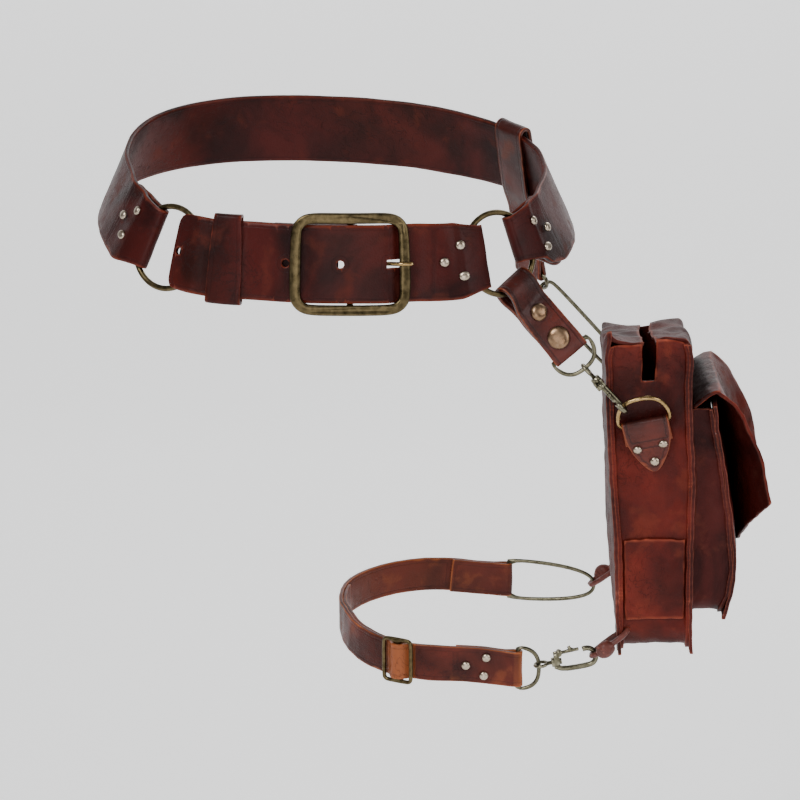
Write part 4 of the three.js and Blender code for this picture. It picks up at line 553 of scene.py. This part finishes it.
@dataclass
class Bag(Group):
    """The hanging bag: panels, gusset, pocket, flap, tabs, D-rings and corner ties."""

    wave: float = 0.85 * MM
    wave_size: float = 85 * MM
    seed: int = 11
    ragged: float = 0.2 * MM
    # the flap's underside, turned towards the body and down, is given painted shade
    flap_painted_shade_toward: tuple = (-0.95, -0.1, -0.3)
    front_face: float = -83 * MM
    rear_face: float = 80 * MM
    top_foot: float = -125 * MM
    top_height: float = -84 * MM
    front_rise: float = 4.5 * MM
    rear_fall: float = 7 * MM
    top_wave: float = 1.5 * MM
    flap_middle: float = -6 * MM
    flap_press: float = 1.15 * MM

    def eased_top(self, points: np.ndarray) -> np.ndarray:
        """The mouth end given a hand-made outline.

        t rises smoothly from 0 at the top's foot to 1 at its height and s runs from 0 at the front to 1
        at the rear: dz = t (front_rise (1 - s) - rear_fall s), and waves 30 mm long are added in x and z, times t.

        Args:
            points: places as rows.

        Returns:
            The moved places.
        """
        t = np.clip((points[:, 2] - self.top_foot) / (self.top_height - self.top_foot), 0.0, 1.0)
        t = t * t * (3.0 - 2.0 * t)
        s = np.clip((points[:, 1] - self.front_face) / (self.rear_face - self.front_face), 0.0, 1.0)
        rise = t * (self.front_rise * (1.0 - s) - self.rear_fall * s)
        side = self.top_wave * t * swell_noise(points, 30 * MM, self.seed + 7)
        lift = self.top_wave * t * swell_noise(points, 30 * MM, self.seed + 8)
        return points + np.stack([side, np.zeros_like(t), rise + lift], axis=1)

    def raised_gusset(self, points: np.ndarray) -> np.ndarray:
        """The gusset's upper 17 mm stretched up to meet the folded tops, then eased with them."""
        share = np.clip((points[:, 2] + 105 * MM) / (17 * MM), 0.0, 1.0)
        return self.eased_top(points + np.stack([0 * share, 0 * share, 3.3 * MM * share], axis=1))

    def pressed_flap(self, points: np.ndarray) -> np.ndarray:
        """The flap's middle pressed to the pocket, and more so under its fold.

        dx = -press (1 + 1.3 f) exp(-((y - middle) / 18 mm)^2), with f from 0 to 1 over the 35 mm under the fold.

        Args:
            points: places as rows.

        Returns:
            The moved places.
        """
        near_fold = np.clip((points[:, 2] + 170 * MM) / (35 * MM), 0.0, 1.0)
        share = (1.0 + 1.3 * near_fold) * np.exp(-((points[:, 1] - self.flap_middle) / (18 * MM)) ** 2)
        share = share * np.clip((-124 * MM - points[:, 2]) / (6 * MM), 0.0, 1.0)
        return self.eased_top(points - self.flap_press * share[:, None] * np.array([1.0, 0.0, 0.0]))

    def raised_pocket(self, points: np.ndarray) -> np.ndarray:
        """The pocket front's upper 14 mm stretched up under the flap."""
        share = np.clip((points[:, 2] + 143 * MM) / (14 * MM), 0.0, 1.0)
        return self.eased_top(points + 2.3 * MM * share[:, None] * np.array([0.0, 0.0, 1.0]))

    def soft(self, node: str, finish: Finish, shape: Callable, painted_shade_toward: tuple | None = None) -> DressedPiece:
        """A leather wall with slack waves and a hand-cut outline."""
        return DressedPiece(node, finish, across=14 * MM, wave=self.wave, wave_size=self.wave_size,
                            ragged=self.ragged, seed=self.seed, crease=0.9, swell=0.27 * MM,
                            painted_shade_toward=painted_shade_toward, shape=shape)

    def pieces(self) -> list[DressedPiece]:
        """Walls share one set of waves, so that they stay side by side."""
        walls = [self.soft("bag_back_panel", Finish.PANEL_AND_PAINTED_SHADE, self.eased_top),
                 self.soft("bag_front_panel", Finish.PANEL_AND_PAINTED_SHADE, self.eased_top),
                 self.soft("pocket_front", Finish.PANEL_AND_PAINTED_SHADE, self.raised_pocket),
                 self.soft("bag_gusset", Finish.BAG, self.raised_gusset),
                 self.soft("gusset_fold", Finish.BAG, self.eased_top),
                 # the pocket gusset takes the darker panel finish as painted shade
                 self.soft("pocket_gusset", Finish.PANEL_AND_PAINTED_SHADE, self.eased_top),
                 # the flap's underside is darkened as painted shade
                 self.soft("pocket_flap", Finish.BAG, self.pressed_flap, self.flap_painted_shade_toward)]
        tabs = [DressedPiece(f"{side}_tab", Finish.STRAP, across=15 * MM, wave=self.wave,
                             wave_size=self.wave_size, seed=self.seed) for side in ("front", "rear")]
        rings = [DressedPiece(n, Finish.BRIGHT_BRASS, swell=0.27 * MM, corner_degrees=80)
                 for n in ("front_d_ring", "rear_d_ring")]
        ties = [DressedPiece(n, Finish.TIE, swell=0.8 * MM, corner_degrees=85, wave=0.35 * MM, wave_size=7 * MM)
                for n in ("front_tie", "rear_tie")]
        return walls + tabs + rings + ties + rivets(("front", "rear"), self.wave, self.wave_size, self.seed)


@dataclass
class ThighStrap(Group):
    """The strap round the thigh, its adjusting end, slider and rivets."""

    def pieces(self) -> list[DressedPiece]:
        """Two leather straps and a wire slider."""
        straps = [DressedPiece(n, Finish.THIGH, across=12 * MM, wave=0.3 * MM, wave_size=35 * MM,
                               bent_by=("thigh_ring", "slider"))
                  for n in ("thigh_strap", "thigh_strap_end")]
        slider = DressedPiece("slider", Finish.DARK_BRASS, swell=0.25 * MM, corner_degrees=80)
        return straps + [slider] + rivets(("thigh",))


@dataclass
class Studio:
    """Camera at the photograph's angle, soft lights, and a pale floor that curves up behind."""

    camera_place: tuple = (0.043, -1.618, 0.26529)
    camera_tilt: float = 75.95
    lens: float = 108.0
    floor_height: float = -0.62
    floor_half: float = 4.0
    floor_depth: float = 1.6
    cove: float = 0.6
    lights: tuple = field(default_factory=lambda: (
        ("key", (-1.1, -1.7, 1.6), 1.1, 52.0), ("fill", (1.7, -1.3, 0.7), 1.3, 20.0),
        ("back", (0.9, 1.5, 1.3), 1.0, 16.0), ("front", (0.1, -2.2, 0.0), 0.9, 9.0)))

    def camera(self) -> None:
        """Set the camera."""
        data = bpy.data.cameras.new("camera")
        data.lens = self.lens
        camera = bpy.data.objects.new("camera", data)
        camera.location = self.camera_place
        camera.rotation_euler = (math.radians(self.camera_tilt), 0, 0)
        bpy.context.scene.collection.objects.link(camera)
        bpy.context.scene.camera = camera

    def light(self) -> None:
        """Set the soft lights, each turned towards the object's middle, and a pale surround."""
        middle = Vector((0.06, 0.0, -0.13))
        for name, place, size, power in self.lights:
            data = bpy.data.lights.new(name, "AREA")
            data.size, data.energy = size, power
            lamp = bpy.data.objects.new(name, data)
            lamp.location = place
            lamp.rotation_euler = (middle - Vector(place)).to_track_quat("-Z", "Y").to_euler()
            bpy.context.scene.collection.objects.link(lamp)
        world = bpy.data.worlds.new("surround")
        world.use_nodes = True
        world.node_tree.nodes["Background"].inputs[0].default_value = (0.93, 0.94, 0.96, 1)
        world.node_tree.nodes["Background"].inputs[1].default_value = 0.32
        bpy.context.scene.world = world

    def floor(self) -> None:
        """A floor whose back edge turns up: (y, z) runs level, round a quarter circle, then straight up."""
        turn = np.linspace(0, math.pi / 2, 16)
        back = self.floor_depth + self.cove
        y = np.concatenate(([-self.floor_half], self.floor_depth + self.cove * np.sin(turn), [back]))
        z = np.concatenate(([0.0], self.cove * (1 - np.cos(turn)), [self.floor_half])) + self.floor_height
        points = [(side * self.floor_half, b, c) for side in (-1, 1) for b, c in zip(y, z)]
        n = len(y)
        faces = [(i, n + i, n + i + 1, i + 1) for i in range(n - 1)]
        mesh = bpy.data.meshes.new("floor")
        mesh.from_pydata(points, [], faces)
        mesh.shade_smooth()
        s = Shader("floor")
        s.set(Base_Color=(0.9, 0.9, 0.9, 1), Roughness=0.9)
        s.set(Emission_Color=(1, 1, 1, 1), Emission_Strength=0.5)
        mesh.materials.append(s.material)
        sheet = bpy.data.objects.new("floor", mesh)
        bpy.context.scene.collection.objects.link(sheet)

    def build(self) -> None:
        """Camera, lights and floor."""
        self.camera()
        self.light()
        self.floor()


def main() -> None:
    """Build the pieces in order."""
    logging.basicConfig(level=logging.INFO)
    finishes = Finishes()
    for group in (Belt(), Hangers(), Bag(), ThighStrap()):
        group.build(finishes)
    Studio().build()


if __name__ == "__main__":
    main()
